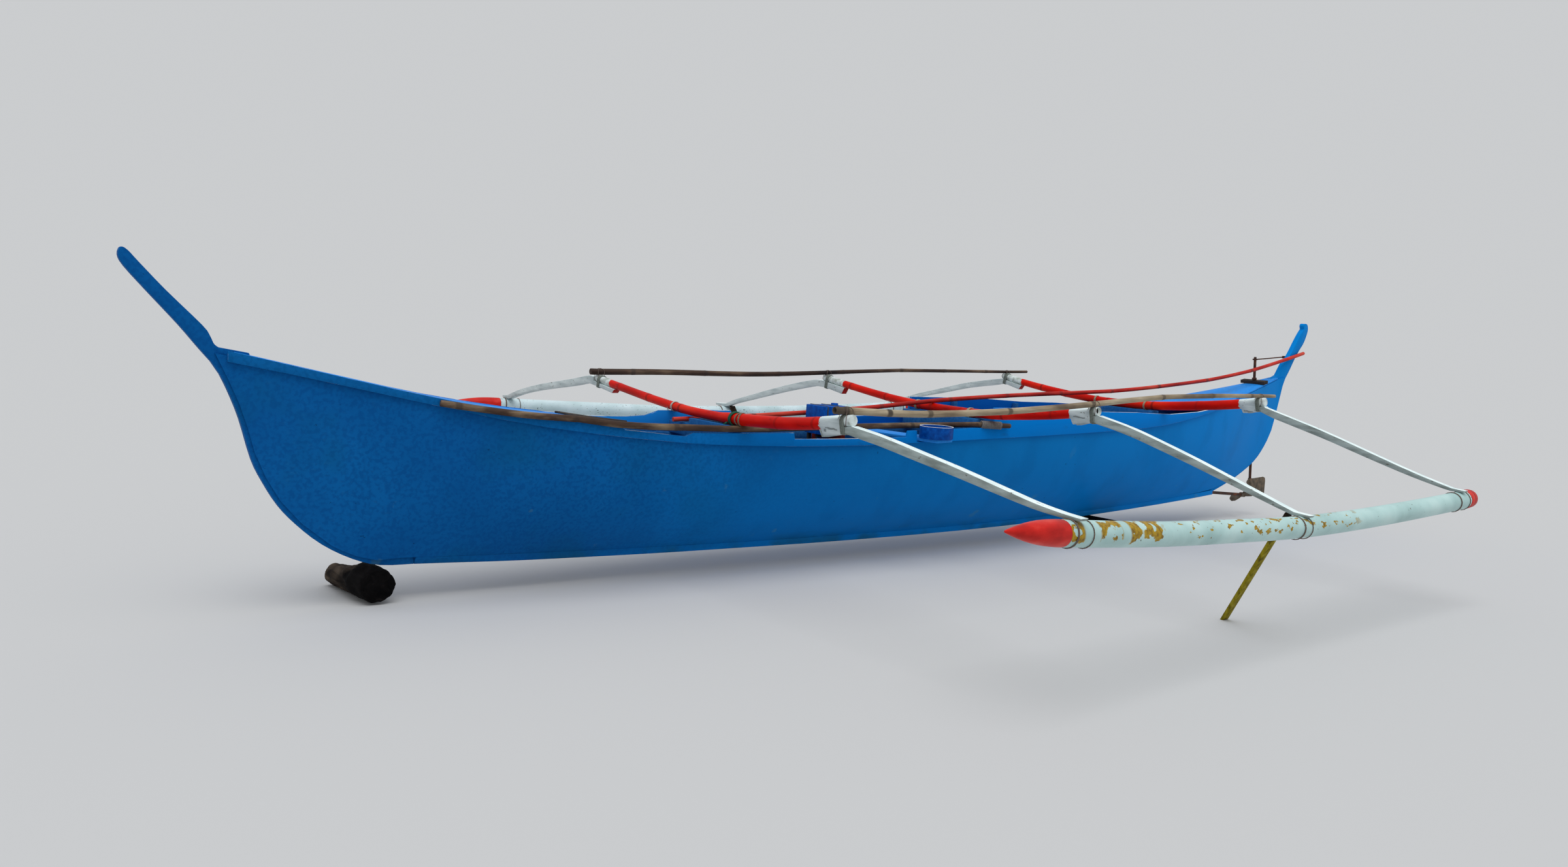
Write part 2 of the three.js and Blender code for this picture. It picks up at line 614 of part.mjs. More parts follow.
// Cross beams: round poles over the hull, curved up at both ends: y, z, radius from starboard to port
const BEAM_SIDES = 16;
const BEAMS = {
    fore: { x: 1684, knots: [[-1251, 990, 23], [-1000, 963, 24], [-556, 919, 25], [-162, 891, 26], [150, 888, 27],
        [235, 890, 33], [720, 916, 33], [1006, 949, 32], [1251, 988, 29]] },
    mid: { x: -180, knots: [[-1226, 1028, 24], [-1013, 1000, 25], [-690, 962, 26], [-370, 934, 27], [0, 920, 28],
        [455, 926, 29], [1011, 992, 29], [1226, 1030, 26]] },
    aft: { x: -2025, knots: [[-1160, 1082, 25], [-970, 1048, 26], [-689, 1012, 27], [-300, 977, 28], [0, 968, 29],
        [226, 972, 30], [587, 1003, 33], [967, 1052, 34], [1160, 1086, 30]] },
};

const BEAM_SPAN = 2;

function beamKnots(name) {
    return BEAMS[name].knots.map(([y, z, r]) => [BEAMS[name].x, y, z, r]);
}

// The height of a beam's top or underside at a place across the boat.
function beamFace(name, y, up) {
    return poleFace(beamKnots(name), BEAM_SIDES, BEAM_SPAN, 'y', y, up);
}

function lowestUnder(name, reach) {
    const places = Array.from({ length: 41 }, (_, i) => THREE.MathUtils.lerp(-reach, reach, i / 40));
    return Math.min(...places.map((y) => beamFace(name, y, -1)));
}

function crossBeams() {
    for (const name of Object.keys(BEAMS)) {
        add(`cross_beam_${name}`, pole(beamKnots(name), BEAM_SIDES, BEAM_SPAN), COLOURS.red, 0.5);
    }
}

// A bearer under each beam lies across the stringers. The fore one is low to starboard, where a pole passes.
const BEARER = { half: 45, lap: 9, lowTop: 826, lowUntil: -90 };

function bearers() {
    for (const [name, beam] of Object.entries(BEAMS)) {
        const reach = stringerY(beam.x) - BEARER.lap;
        const floor = Math.max(sheerAt(beam.x - BEARER.half), sheerAt(beam.x + BEARER.half)) - STRINGER.below + CLEAR;
        const top = lowestUnder(name, reach) - CLEAR;
        const [x0, x1] = [beam.x - BEARER.half, beam.x + BEARER.half];
        const shape = name === 'fore'
            ? joined(box(x0, x1, -reach, reach, floor, BEARER.lowTop), box(x0, x1, BEARER.lowUntil, reach, floor + 1, top))
            : box(x0, x1, -reach, reach, floor, top);
        add(`beam_bearer_${name}`, shape, COLOURS.inside, 0.6);
    }
}

// Floats: pipes that sag between the arms: x, distance out and z of the centre line, from the nose aft
const FLOAT_SIDES = 20;
const FLOAT_LINES = {
    port: [
        [1755, 2575, 700], [1684, 2569, 693], [1000, 2530, 639], [400, 2503, 612], [-180, 2480, 588],
        [-1100, 2448, 593], [-2025, 2425, 623], [-2100, 2423, 627],
    ],
    starboard: [
        [1755, 2575, 685], [1684, 2569, 681], [1000, 2530, 660], [400, 2503, 640], [-180, 2480, 640],
        [-1100, 2448, 652], [-2025, 2425, 690], [-2100, 2423, 694],
    ],
};
const NOSE = { length: 355, profile: [[0, 1], [0.2, 0.98], [0.42, 0.88], [0.64, 0.66], [0.82, 0.4], [0.94, 0.2], [1, 0.08]] };
const REAR_CAP = [[0, 1.03], [66, 1.03], [84, 0.99], [96, 0.88], [103, 0.68], [106, 0.45]];
const FLOAT_SPAN = 2;

function floatKnots(side) {
    return FLOAT_LINES[side].map(([x, y, z]) => [x, SIDES[side] * y, z, FLOAT_R]);
}

function floats() {
    for (const side of Object.keys(SIDES)) {
        const line = floatKnots(side);
        add(`float_${side}`, pole(line, FLOAT_SIDES, FLOAT_SPAN), COLOURS.white, 0.45);
        const curve = curveThrough(line);
        const capped = (t, way, profile) => {
            const out = curve.getTangent(t).multiplyScalar(way);
            const start = curve.getPoint(t).addScaledVector(out, 2 * CLEAR);
            return pole(profile.map(([d, r]) => [...start.clone().addScaledVector(out, d).toArray(), FLOAT_R * r]),
                FLOAT_SIDES, 1);
        };
        add(`nose_cone_${side}`, capped(0, -1, NOSE.profile.map(([d, r]) => [d * NOSE.length, r])), COLOURS.nose, 0.45);
        add(`rear_cap_${side}`, capped(1, 1, REAR_CAP), COLOURS.nose, 0.45);
    }
}

// Arms: crooked timbers lashed under each beam's end and resting on the float.
// root: length under the beam, under: its depth there, knee: the leg's top just past the beam's end,
// seat: the float's middle, tip: the leg's depth there, over: its length past the seat.
// The leg's top passes through the via places: distance out, z
const ARMS = {
    port: {
        fore: { root: 222, under: 34, knee: 962, seat: 2569, tip: 17, over: 58,
            via: [[1467, 940], [1723, 900], [1961, 862], [2183, 822], [2391, 785]] },
        mid: { root: 156, under: 38, knee: 1006, seat: 2480, tip: 17, over: 54,
            via: [[1462, 962], [1673, 905], [1874, 846], [2067, 785], [2250, 726]] },
        aft: { root: 130, under: 30, knee: 1050, seat: 2425, tip: 17, over: 46,
            via: [[1581, 940], [1883, 845], [2167, 757]] },
    },
    starboard: {
        fore: { root: 262, under: 24, knee: 999, seat: 2569, tip: 26, over: 58,
            via: [[1340, 998], [1573, 957], [1979, 893], [2268, 837], [2440, 793]] },
        mid: { root: 245, under: 44, knee: 1006, seat: 2480, tip: 24, over: 116,
            via: [[1349, 1000], [1635, 940], [1884, 879], [2145, 811], [2340, 758]] },
        aft: { root: 215, under: 34, knee: 1056, seat: 2425, tip: 18, over: 50,
            via: [[1535, 994], [1860, 914], [2156, 840]] },
    },
};

function armOutline(name, side) {
    const { x, knots } = BEAMS[name];
    const arm = ARMS[side][name];
    const [endY] = knots[knots.length - 1];
    const rootY = endY - arm.root;
    const seatZ = CLEAR + Math.max(...[-1, 0, 1].map((k) =>
        poleFace(floatKnots(side), FLOAT_SIDES, FLOAT_SPAN, 'x', x + k * ARM.wide / 2, 1)));
    const face = (y) => beamFace(name, SIDES[side] * y, -1) - 2 * CLEAR;
    const rise = (face(endY - 4) - face(endY - 24)) / 20;
    const under = (y) => (y > endY - 4 ? face(endY - 4) + (y - endY + 4) * rise : face(y));
    const tipTop = seatZ + arm.tip;
    const leg = smooth([[endY + 14, arm.knee], ...arm.via, [arm.seat - ARM.bend, tipTop]], 4).map((p) => [p.x, p.y]);
    const deepAt = (y) => THREE.MathUtils.lerp(ARM.deep, arm.tip, ((y - endY) / (arm.seat - endY)) ** 2);
    const root = [0, 1, 2, 3, 4, 5].map((k) => THREE.MathUtils.lerp(rootY, endY + 8, k / 5)).map((y) => [y, under(y)]);
    const top = [...root, ...leg, [arm.seat + arm.over, tipTop - arm.tip / 3]];
    const low = [
        [arm.seat + arm.over - 8, seatZ], [arm.seat - ARM.sole, seatZ],
        ...leg.filter(([y]) => y > endY + 70 && y < arm.seat - ARM.sole - 30).toReversed()
            .map(([y, z]) => [y - 8, z - deepAt(y)]),
        [endY - 30, under(endY) - arm.under - 2], [rootY + 26, under(rootY) - arm.under],
    ];
    return [...top, ...low].map(([y, z]) => new THREE.Vector2(y, z));
}

function arms() {
    for (const name of Object.keys(BEAMS)) {
        for (const [side, sign] of Object.entries(SIDES)) {
            const arm = add(`arm_${name}_${side}`, plateYZ(armOutline(name, side), ARM.wide), COLOURS.white, 0.5);
            arm.position.x = BEAMS[name].x;
            arm.rotation.z = sign > 0 ? 0 : Math.PI;
        }
    }
}

// Poles stowed on the boat: x, y, z, radius from the bow aft
const POLE_SIDES = 12;

function poles() {
    const flat = Math.cos(Math.PI / POLE_SIDES);
    const on = (name, y, r) => Math.max(...[-1, 0, 1].map((k) => beamFace(name, y + k * r / 3, 1))) + r * flat + CLEAR;
    add('pole_port', pole([
        [1766, 1205, on('fore', 1205, 19) + 2, 19], [1684, 1205, on('fore', 1205, 19), 19], [1240, 1202, 1012, 18],
        [540, 1198, 1026, 18], [-180, 1195, on('mid', 1195, 17), 17], [-912, 1165, 1112, 16],
        [-2025, 1120, on('aft', 1120, 13), 13], [-2216, 1112, 1122, 12],
    ], POLE_SIDES, 2), COLOURS.bamboo, 0.7);
    add('pole_starboard', pole([
        [1750, -1224, on('fore', -1222, 21) + 1, 21], [1684, -1222, on('fore', -1222, 21), 21], [1185, -1219, 1040, 20],
        [500, -1213, 1038, 18], [-180, -1205, on('mid', -1205, 16), 16], [-865, -1180, 1098, 14],
        [-2025, -1130, on('aft', -1130, 12), 12], [-2260, -1122, 1121, 12],
    ], POLE_SIDES, 2), COLOURS.dark, 0.7);
    add('pole_long_red', pole([
        [1790, -160, 842, 14], [1684, -157, 845, 14], [1240, -143, 862, 15], [370, -115, 915, 15],
        [-180, -95, on('mid', -95, 15) + CLEAR, 15], [-980, -65, 1012, 15], [-1960, -28, 1053, 15], [-2420, -12, 1088, 15],
        [-3155, 14, 1161, 15], [-3600, 28, 1229, 15], [-3820, 35, 1270, 15], [-4360, 36, 1384, 15], [-4490, 37, 1415, 15],
    ], POLE_SIDES, 2), COLOURS.redpole, 0.6);
    add('pole_gunwale', pole([
        [3285, 219, 963, 16], [2877, 281, 912, 17], [2624, 309, 898, 17], [2400, 336, 869, 18], [2000, 343, 854, 18],
        [1684, 359, 845, 18], [1100, 352, 850, 18], [500, 334, 853, 18], [300, 326, 852, 18], [0, 358, 858, 17],
        [-150, 400, 861, 17], [-236, 421, 858, 17], [-350, 424, 854, 16],
    ], POLE_SIDES, 2), COLOURS.bamboo, 0.7);
    const onDeck = (x, r) => deckTopAt(x) + r + CLEAR;
    add('thin_stick', pole([
        [2510, -175, onDeck(2510, 7), 7], [2400, 5, onDeck(2400, 8), 8], [2290, 190, onDeck(2360, 8), 8],
    ], 8, 4), COLOURS.dark, 0.8);
}

// What stands under the boat: each log just reaches the keel or the stem.
// The fore log narrows to starboard: y, radius and axis height as shares of its largest radius
const FORE_LOG = {
    r: 92.5, x: 3497, turn: 0.125,
    taper: [
        [66, 0.8, 1], [58, 0.93, 1], [44, 1, 1], [-75, 1, 1], [-150, 0.9, 0.9], [-260, 0.74, 0.74], [-380, 0.66, 0.66],
        [-420, 0.6, 0.66], [-430, 0.45, 0.66],
    ],
};
const LOG_SIDES = 24;
const AFT_LOG = { x: -1770, from: -360, to: 420 };
const PROP = { foot: [-337, 2030], topX: -192, inboard: 72, wide: 47, thick: 20 };

function logs() {
    const rings = FORE_LOG.taper.map(([y, share, high]) => Array.from({ length: LOG_SIDES }, (_, j) => {
        const angle = 2 * Math.PI * j / LOG_SIDES;
        const [out, up] = [Math.cos(angle), Math.sin(angle)].map((k) => k * share * FORE_LOG.r);
        return new THREE.Vector3(FORE_LOG.x - y * FORE_LOG.turn + out, y, high * FORE_LOG.r + up);
    }));
    add('roller_log_fore', throughRings(rings), COLOURS.dark, 0.9);
    const r = (keelAt(AFT_LOG.x) - 2 * CLEAR) / 2;
    add('roller_log_aft', rod([AFT_LOG.x, AFT_LOG.from, r], [AFT_LOG.x, AFT_LOG.to, r], r, LOG_SIDES), COLOURS.dark, 0.9);
}

// A flat board from the ground to the underside of the middle arm.
function propSticks() {
    for (const [side, sign] of Object.entries(SIDES)) {
        const leg = armOutline('mid', side);
        const half = leg.slice(leg.length / 2);
        const [fx, fy] = PROP.foot;
        const [tx, ty] = [PROP.topX, ARMS[side].mid.seat - PROP.inboard];
        const outerY = ty + PROP.thick / 2;
        const i = half.findIndex((p, k) => k + 1 < half.length && p.x >= outerY && half[k + 1].x < outerY);
        const t = (outerY - half[i].x) / (half[i + 1].x - half[i].x);
        const topZ = THREE.MathUtils.lerp(half[i].y, half[i + 1].y, t) - CLEAR;
        const ring = (x, y, z) => [[-1, -1], [1, -1], [1, 1], [-1, 1]].map(([a, b]) =>
            new THREE.Vector3(x + a * PROP.wide / 2, sign * (y + b * PROP.thick / 2), z));
        add(`prop_stick_${side}`, throughRings([ring(fx, fy, 0), ring(tx, ty, topZ)]), COLOURS.prop, 0.8);
    }
}

// Engine, tank, shaft and propeller
const ENGINE = { x0: 550, x1: 930, half: 160, z0: 360, z1: 770 };
const BED = { y: 120, half: 25, z0: 300, x0: 500, x1: 980, floors: [540, 940], floorWide: 40 };
const TANK = { x0: 700, x1: 900, half: 85, z1: 940, capR: 22, capH: 14 };
const HUB = { x: -3816, long: 56, r: 20 };
const BLADE = { r: 120, wide: 74, thick: 5, pitch: 0.42, spin: 0.44 };

function machinery() {
    add('engine_block', box(ENGINE.x0, ENGINE.x1, -ENGINE.half, ENGINE.half, ENGINE.z0 + CLEAR, ENGINE.z1),
        COLOURS.engine, 0.6, 0.3);
    const runners = Object.values(SIDES).map((sign) =>
        box(BED.x0, BED.x1, sign * BED.y - BED.half, sign * BED.y + BED.half, BED.z0, ENGINE.z0));
    const floors = BED.floors.map((x) => {
        const low = keelAt(x + BED.floorWide) + KEEL.deep + KEELSON.deep + 4 * CLEAR;
        const wall = (z) => insideAt(x, z) + RIB.into;
        const side = [low, 0.35 * low + 0.65 * BED.z0, BED.z0 + 1].map((z) => new THREE.Vector2(wall(z), z));
        return plateYZ([...side, ...side.toReversed().map((p) => new THREE.Vector2(-p.x, p.y))], BED.floorWide, x);
    });
    add('engine_bed', cut(joined(...runners, ...floors), ...outsideOfFrames()), COLOURS.inside, 0.7);
    const cap = rod([TANK.x0 + 50, 0, TANK.z1 - 1], [TANK.x0 + 50, 0, TANK.z1 + TANK.capH], TANK.capR);
    add('fuel_tank', joined(box(TANK.x0, TANK.x1, -TANK.half, TANK.half, ENGINE.z1 + CLEAR, TANK.z1), cap), COLOURS.tub, 0.5);
    const slope = Math.hypot(1, SHAFT.slope);
    const hubFront = HUB.x + HUB.long / 2 / slope;
    add('propeller_shaft', alongShaft(ENGINE.x0 - 2, hubFront + CLEAR, SHAFT.r), COLOURS.steel, 0.5, 0.6);
    add('stern_tube', cut(alongShaft(STERN_TUBE.fore, STERN_TUBE.aft, STERN_TUBE.r, 20),
        alongShaft(STERN_TUBE.fore + 50, STERN_TUBE.aft - 50, SHAFT.r + RUN)), COLOURS.steel, 0.7, 0.4);
    propeller();
}

function propeller() {
    const outline = [[0, -12], [30, -26], [70, -BLADE.wide / 2], [104, -30], [BLADE.r, -8], [BLADE.r, 8],
        [104, 30], [70, BLADE.wide / 2], [30, 26], [0, 12]];
    const blade = (turn) => {
        const plate = new THREE.ExtrudeGeometry(new THREE.Shape(outline.map(([r, w]) => new THREE.Vector2(r, w))),
            { depth: BLADE.thick, bevelEnabled: false });
        plate.translate(0, 0, -BLADE.thick / 2);
        plate.rotateX(BLADE.pitch);
        plate.rotateZ(turn);
        return plate;
    };
    const hub = rod([0, 0, -HUB.long / 2], [0, 0, HUB.long / 2], HUB.r, 20);
    const mesh = add('propeller', joined(hub, blade(0), blade(Math.PI)), COLOURS.bronze, 0.5, 0.6);
    mesh.position.set(HUB.x, 0, shaftZ(HUB.x));
    const axis = new THREE.Vector3(1, 0, SHAFT.slope).normalize();
    mesh.quaternion.setFromUnitVectors(new THREE.Vector3(0, 0, 1), axis);
    mesh.rotateZ(Math.PI / 2 + BLADE.spin);
}

// Rudder, its bearing block on the aft deck and its stay to the sternpost
const RUDDER_BLOCK = { x: -3824, wide: 56, half: 108, high: 26 };
const COLLAR = { r: 19, high: 14 };
const BLADE_SLEEVE = { r: 16, z0: 262, z1: 334 };
const RUDDER_EDGE = [
    [-3862, 300], [-3872, 318], [-3900, 330], [-4010, 334], [-4112, 340], [-4140, 330], [-4148, 306],
    [-4152, 190], [-4144, 172], [-4122, 176], [-3990, 236], [-3880, 284],
];
const STAY = { r: 5, z: 1336, eyeR: 20, eyeHigh: 10, lapX: -4300, lapZ: 1372, lapY: -24.5 };

function rudder() {
    const rise = (deckTopAt(RUDDER_BLOCK.x - 20) - deckTopAt(RUDDER_BLOCK.x + 20)) / 40;
    const seat = deckTopAt(RUDDER_BLOCK.x) + CLEAR;
    const block = box(-RUDDER_BLOCK.wide / 2, RUDDER_BLOCK.wide / 2, -RUDDER_BLOCK.half, RUDDER_BLOCK.half, 0, RUDDER_BLOCK.high);
    block.rotateY(Math.atan(rise));
    block.translate(RUDDER_BLOCK.x, 0, seat);
    add('rudder_block', cut(block, stockHole()), COLOURS.dark, 0.8);

    const along = (z, dz) => [stockX(z) + dz * STOCK.lean, 0, z + dz];
    const collarZ = seat + RUDDER_BLOCK.high + 5.5;
    const stock = rod(along(STOCK.footZ, 0), along(STOCK.topZ, 0), STOCK.r, 16);
    const collar = rod(along(collarZ, 0), along(collarZ, COLLAR.high), COLLAR.r, 20);
    add('rudder_stock', joined(stock, collar), COLOURS.steel, 0.7, 0.3);

    const plate = plateXZ(RUDDER_EDGE.map(([x, z]) => new THREE.Vector2(x, z)), 6);
    const sleeve = rod(along(BLADE_SLEEVE.z0, 0), along(BLADE_SLEEVE.z1, 0), BLADE_SLEEVE.r, 16);
    const bore = rod(along(STOCK.footZ - 0.5, 0), along(BLADE_SLEEVE.z1 + 30, 0), STOCK.r + CLEAR, 16);
    add('rudder_blade', cut(joined(plate, sleeve), bore), COLOURS.steel, 0.7, 0.3);

    const eye = rod(along(STAY.z, 0), along(STAY.z, STAY.eyeHigh), STAY.eyeR, 20);
    const bar = rod([stockX(STAY.z) - 12, 0, STAY.z + 5], [STAY.lapX + 26, STAY.lapY - 1, STAY.lapZ], STAY.r, 10);
    const lap = box(STAY.lapX, STAY.lapX + 34, STAY.lapY - 4, -POST_HALF - CLEAR, STAY.lapZ - 11, STAY.lapZ + 11);
    add('rudder_stay', cut(joined(eye, bar, lap), stockHole()), COLOURS.dark, 0.7, 0.3);
}

function thwart() {
    const [from, to] = [THWART.from, THWART.to].map(([x, y]) => new THREE.Vector2(x, y));
    const plank = box(-THWART.wide / 2, THWART.wide / 2, -from.distanceTo(to) / 2, from.distanceTo(to) / 2, 0, THWART.thick);
    const mesh = add('thwart_plank', plank, COLOURS.deck, 0.6);
    const middle = from.clone().add(to).multiplyScalar(0.5);
    mesh.position.set(middle.x, middle.y, THWART.low);
    mesh.rotation.z = Math.atan2(from.x - to.x, to.y - from.y);
    const profile = [[0, 0], [98, 0], [101, 6], [101, 75], [96, 75], [96, 6], [0, 6]].map(([r, z]) => new THREE.Vector2(r, z));
    const tub = add('tub', new THREE.LatheGeometry(profile, 24), COLOURS.tub, 0.4);
    tub.geometry.rotateX(Math.PI / 2);
    tub.position.set(322, 448, THWART.low + THWART.thick + CLEAR);
}

keel();
sidePlanks();
stem();
sternpost();
strake('port');
strake('starboard');
decks();
frames();
bearers();
thwart();
machinery();
rudder();
crossBeams();
arms();
floats();
poles();
logs();
propSticks();

export default boat;
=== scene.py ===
"""A beached wooden outrigger canoe: painted hull, red cross beams, white arms and pipe floats.

Metres, +X towards the bow, +Y to port, +Z up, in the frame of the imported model.
"""

import json
import math
from contextlib import contextmanager

import bpy
from mathutils import Matrix, Vector, geometry

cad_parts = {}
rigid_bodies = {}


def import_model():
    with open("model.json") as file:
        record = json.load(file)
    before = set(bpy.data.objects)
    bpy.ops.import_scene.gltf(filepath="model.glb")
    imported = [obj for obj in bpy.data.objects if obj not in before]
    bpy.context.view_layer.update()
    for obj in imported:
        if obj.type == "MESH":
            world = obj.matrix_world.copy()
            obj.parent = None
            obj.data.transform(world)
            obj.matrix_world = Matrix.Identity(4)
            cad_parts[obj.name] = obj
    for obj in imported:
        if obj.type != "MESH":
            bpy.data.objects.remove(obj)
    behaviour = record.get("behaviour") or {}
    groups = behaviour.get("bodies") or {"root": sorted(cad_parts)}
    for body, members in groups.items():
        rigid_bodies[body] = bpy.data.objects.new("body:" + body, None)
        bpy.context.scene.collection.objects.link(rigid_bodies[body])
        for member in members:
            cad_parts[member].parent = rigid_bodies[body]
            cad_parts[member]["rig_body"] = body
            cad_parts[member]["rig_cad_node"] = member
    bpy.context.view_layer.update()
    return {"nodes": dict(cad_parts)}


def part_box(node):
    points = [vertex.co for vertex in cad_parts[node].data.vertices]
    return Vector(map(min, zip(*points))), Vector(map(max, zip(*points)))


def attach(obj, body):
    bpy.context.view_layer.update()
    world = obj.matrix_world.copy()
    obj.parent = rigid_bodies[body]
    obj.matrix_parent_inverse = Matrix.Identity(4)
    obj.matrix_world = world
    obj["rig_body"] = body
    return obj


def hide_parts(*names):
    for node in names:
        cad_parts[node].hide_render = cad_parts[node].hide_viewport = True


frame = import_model()
NODES = frame["nodes"]

AXES = {"x": 0, "y": 1, "z": 2}
SIDES = {"port": 1, "starboard": -1}

# Camera: where the eye stands, and its right and upward directions
EYE = Vector((5.318, 5.415, 1.457))
EYE_RIGHT = Vector((-0.7927, 0.6065, 0.0623))
EYE_UP = Vector((-0.0112, -0.1167, 0.9931))
LENS = {"mm": 27, "film": 36, "sees": 500}


def set_up_camera():
    bpy.ops.object.camera_add(location=EYE)
    camera = bpy.context.object
    turn = Matrix((EYE_RIGHT, EYE_UP, EYE_RIGHT.cross(EYE_UP))).transposed()
    camera.matrix_world = Matrix.Translation(EYE) @ turn.to_4x4()
    camera.data.lens = LENS["mm"]
    camera.data.sensor_width = LENS["film"]
    camera.data.clip_end = LENS["sees"]
    bpy.context.scene.camera = camera


# Studio: a pale floor under a soft overcast light
FLOOR = {"size": 240, "grey": (0.567, 0.572, 0.577, 1), "roughness": 1.0}
ROOM = {"Color": (0.96, 0.98, 1.0, 1), "Strength": 0.62}
SUN = {"strength": 1.5, "soft": math.radians(50), "tilt": (math.radians(-15), math.radians(10), 0)}


def set_up_studio():
    bpy.context.scene.view_settings.view_transform = "Standard"
    room = bpy.data.worlds.new("overcast_room")
    room.use_nodes = True
    for socket, value in ROOM.items():
        room.node_tree.nodes["Background"].inputs[socket].default_value = value
    bpy.context.scene.world = room
    bpy.ops.object.light_add(type="SUN", rotation=SUN["tilt"])
    bpy.context.object.data.energy = SUN["strength"]
    bpy.context.object.data.angle = SUN["soft"]
    bpy.ops.mesh.primitive_plane_add(size=FLOOR["size"])
    floor = bpy.context.object
    floor.name = "studio_floor"
    pale = Finish("pale_floor", FLOOR["roughness"], shine=0.0)
    pale.shader.inputs["Base Color"].default_value = FLOOR["grey"]
    floor.data.materials.append(pale.material)


# Finishes
NOISE_SPAN = (0.3, 0.7)
MIX_SOCKETS = (0, 6, 7)
MIX_RESULT = 2
JOINT_CLOUD = (0.38, 0.6)
JOINT_LEAST = 0.4


def tint(red, green, blue):
    """A paint colour from screen values of 0 to 255, by the standard screen curve."""
    straight = [c / 255 for c in (red, green, blue)]
    return (*[c / 12.92 if c <= 0.04045 else ((c + 0.055) / 1.055) ** 2.4 for c in straight], 1)


class Finish:
    """One painted, wooden or metal finish, worked out on Object coordinates."""

    def __init__(self, name, roughness, metallic=0.0, shine=0.25):
        self.material = bpy.data.materials.new(name)
        self.material.use_nodes = True
        self.tree = self.material.node_tree
        self.shader = self.tree.nodes["Principled BSDF"]
        looks = {"Roughness": roughness, "Metallic": metallic, "Specular IOR Level": shine}
        for socket, value in looks.items():
            self.shader.inputs[socket].default_value = value
        self.colour = None
        self.normal = None
        self.place = self.tree.nodes.new("ShaderNodeTexCoord").outputs["Object"]

    def feed(self, socket, value):
        """Links another socket to this one, or sets this one to a plain value."""
        if isinstance(value, bpy.types.NodeSocket):
            self.tree.links.new(value, socket)
        else:
            socket.default_value = value

    def put(self, kind, **sockets):
        """Adds a node; its sockets are named, or numbered as n0, n1 and so on."""
        node = self.tree.nodes.new(kind)
        for name, value in sockets.items():
            numbered = name[0] == "n" and name[1:].isdigit()
            self.feed(node.inputs[int(name[1:]) if numbered else name.replace("_", " ")], value)
        return node

    def grain(self, scale, detail=4.0, twist=0.0, shift=(0, 0, 0), x=1, y=1, z=1):
        """Cloudy noise, 0 to 1, drawn out along an axis whose own share of the scale is under 1."""
        seat = self.put("ShaderNodeMapping", Vector=self.place, Scale=(x, y, z), Location=shift)
        return self.put("ShaderNodeTexNoise", Vector=seat.outputs[0], Scale=scale, Detail=detail,
                        Distortion=twist).outputs["Fac"]

    def axis(self, letter, of=None):
        return self.put("ShaderNodeSeparateXYZ", Vector=of or self.place).outputs[AXES[letter]]

    def facing(self, letter):
        """How far the surface faces along an axis, -1 to 1."""
        return self.axis(letter, self.put("ShaderNodeNewGeometry").outputs["Normal"])

    def fade(self, value, start, end, most=1.0, least=0.0):
        """Least where the value is at its start, most where it is at its end, level beyond both."""
        ranged = self.put("ShaderNodeMapRange", Value=value, From_Min=start, From_Max=end, To_Min=least,
                          To_Max=most)
        return ranged.outputs[0]

    def calc(self, operation, first, second=0.0):
        node = self.put("ShaderNodeMath", n0=first, n1=second)
        node.operation = operation
        return node.outputs[0]

    def both(self, first, second):
        """The part that two masks share."""
        return self.calc("MULTIPLY", first, second)

    def within(self, value, low, high, soft):
        """1 between low and high, fading to 0 outside over the soft width."""
        return self.both(self.fade(value, low - soft, low), self.fade(value, high + soft, high))

    def ragged(self, value, noise, by):
        """A value that the noise moves up and down, for an uneven edge."""
        return self.calc("ADD", value, self.fade(noise, *NOISE_SPAN, by, -by))

    def ramp(self, value, *stops):
        node = self.put("ShaderNodeValToRGB", Fac=value)
        band = node.color_ramp
        while len(band.elements) < len(stops):
            band.elements.new(0.5)
        for element, (at, colour) in zip(band.elements, stops):
            element.position = at
            element.color = tint(*colour)
        return node.outputs["Color"]

    def mix(self, share, under, over):
        node = self.put("ShaderNodeMix")
        node.data_type = "RGBA"
        for socket, value in zip(MIX_SOCKETS, (share, under, over)):
            self.feed(node.inputs[socket], tint(*value) if isinstance(value, tuple) else value)
        return node.outputs[MIX_RESULT]

    def over(self, share, colour):
        """Lays another colour over the finish's colour so far."""
        self.colour = self.mix(share, self.colour, colour)

    def joint_marks(self, along, places, half, cloud, strength):
        """A ragged dark ring at each of a pole's joints."""
        rings = 0.0
        for place in places:
            rings = self.calc("ADD", rings, self.within(along, place - half, place + half, half))
        clouded = self.fade(cloud, *JOINT_CLOUD, strength, strength * JOINT_LEAST)
        return self.both(rings, clouded)

    def rubbed(self, along):
        """1 where the strakes' edges are rubbed to white."""
        worn = 0.0
        for low, high in RUBBED:
            worn = self.calc("ADD", self.within(along, low, high, RUBBED_FADE), worn)
        return worn

    def gloss(self, value, low, high):
        """Roughness that follows a value."""
        self.feed(self.shader.inputs["Roughness"], self.fade(value, *NOISE_SPAN, high, low))

    def relief(self, height, strength, depth):
        """Raises the surface where the height is large; a second call adds to the first."""
        node = self.put("ShaderNodeBump", Height=height, Strength=strength, Distance=depth)
        if self.normal is not None:
            self.feed(node.inputs["Normal"], self.normal)
        self.normal = node.outputs["Normal"]
        self.feed(self.shader.inputs["Normal"], self.normal)

    def done(self):
        """The material, with the colour linked in."""
        self.feed(self.shader.inputs["Base Color"], self.colour)
        return self.material


# Paint colours that the finishes mix in, as screen values
CHALK = (48, 124, 172)
ALGAE = (28, 78, 84)
FLECK = (104, 152, 118)
UNDERCOAT = (206, 222, 230)
SMUDGE = (52, 44, 40)

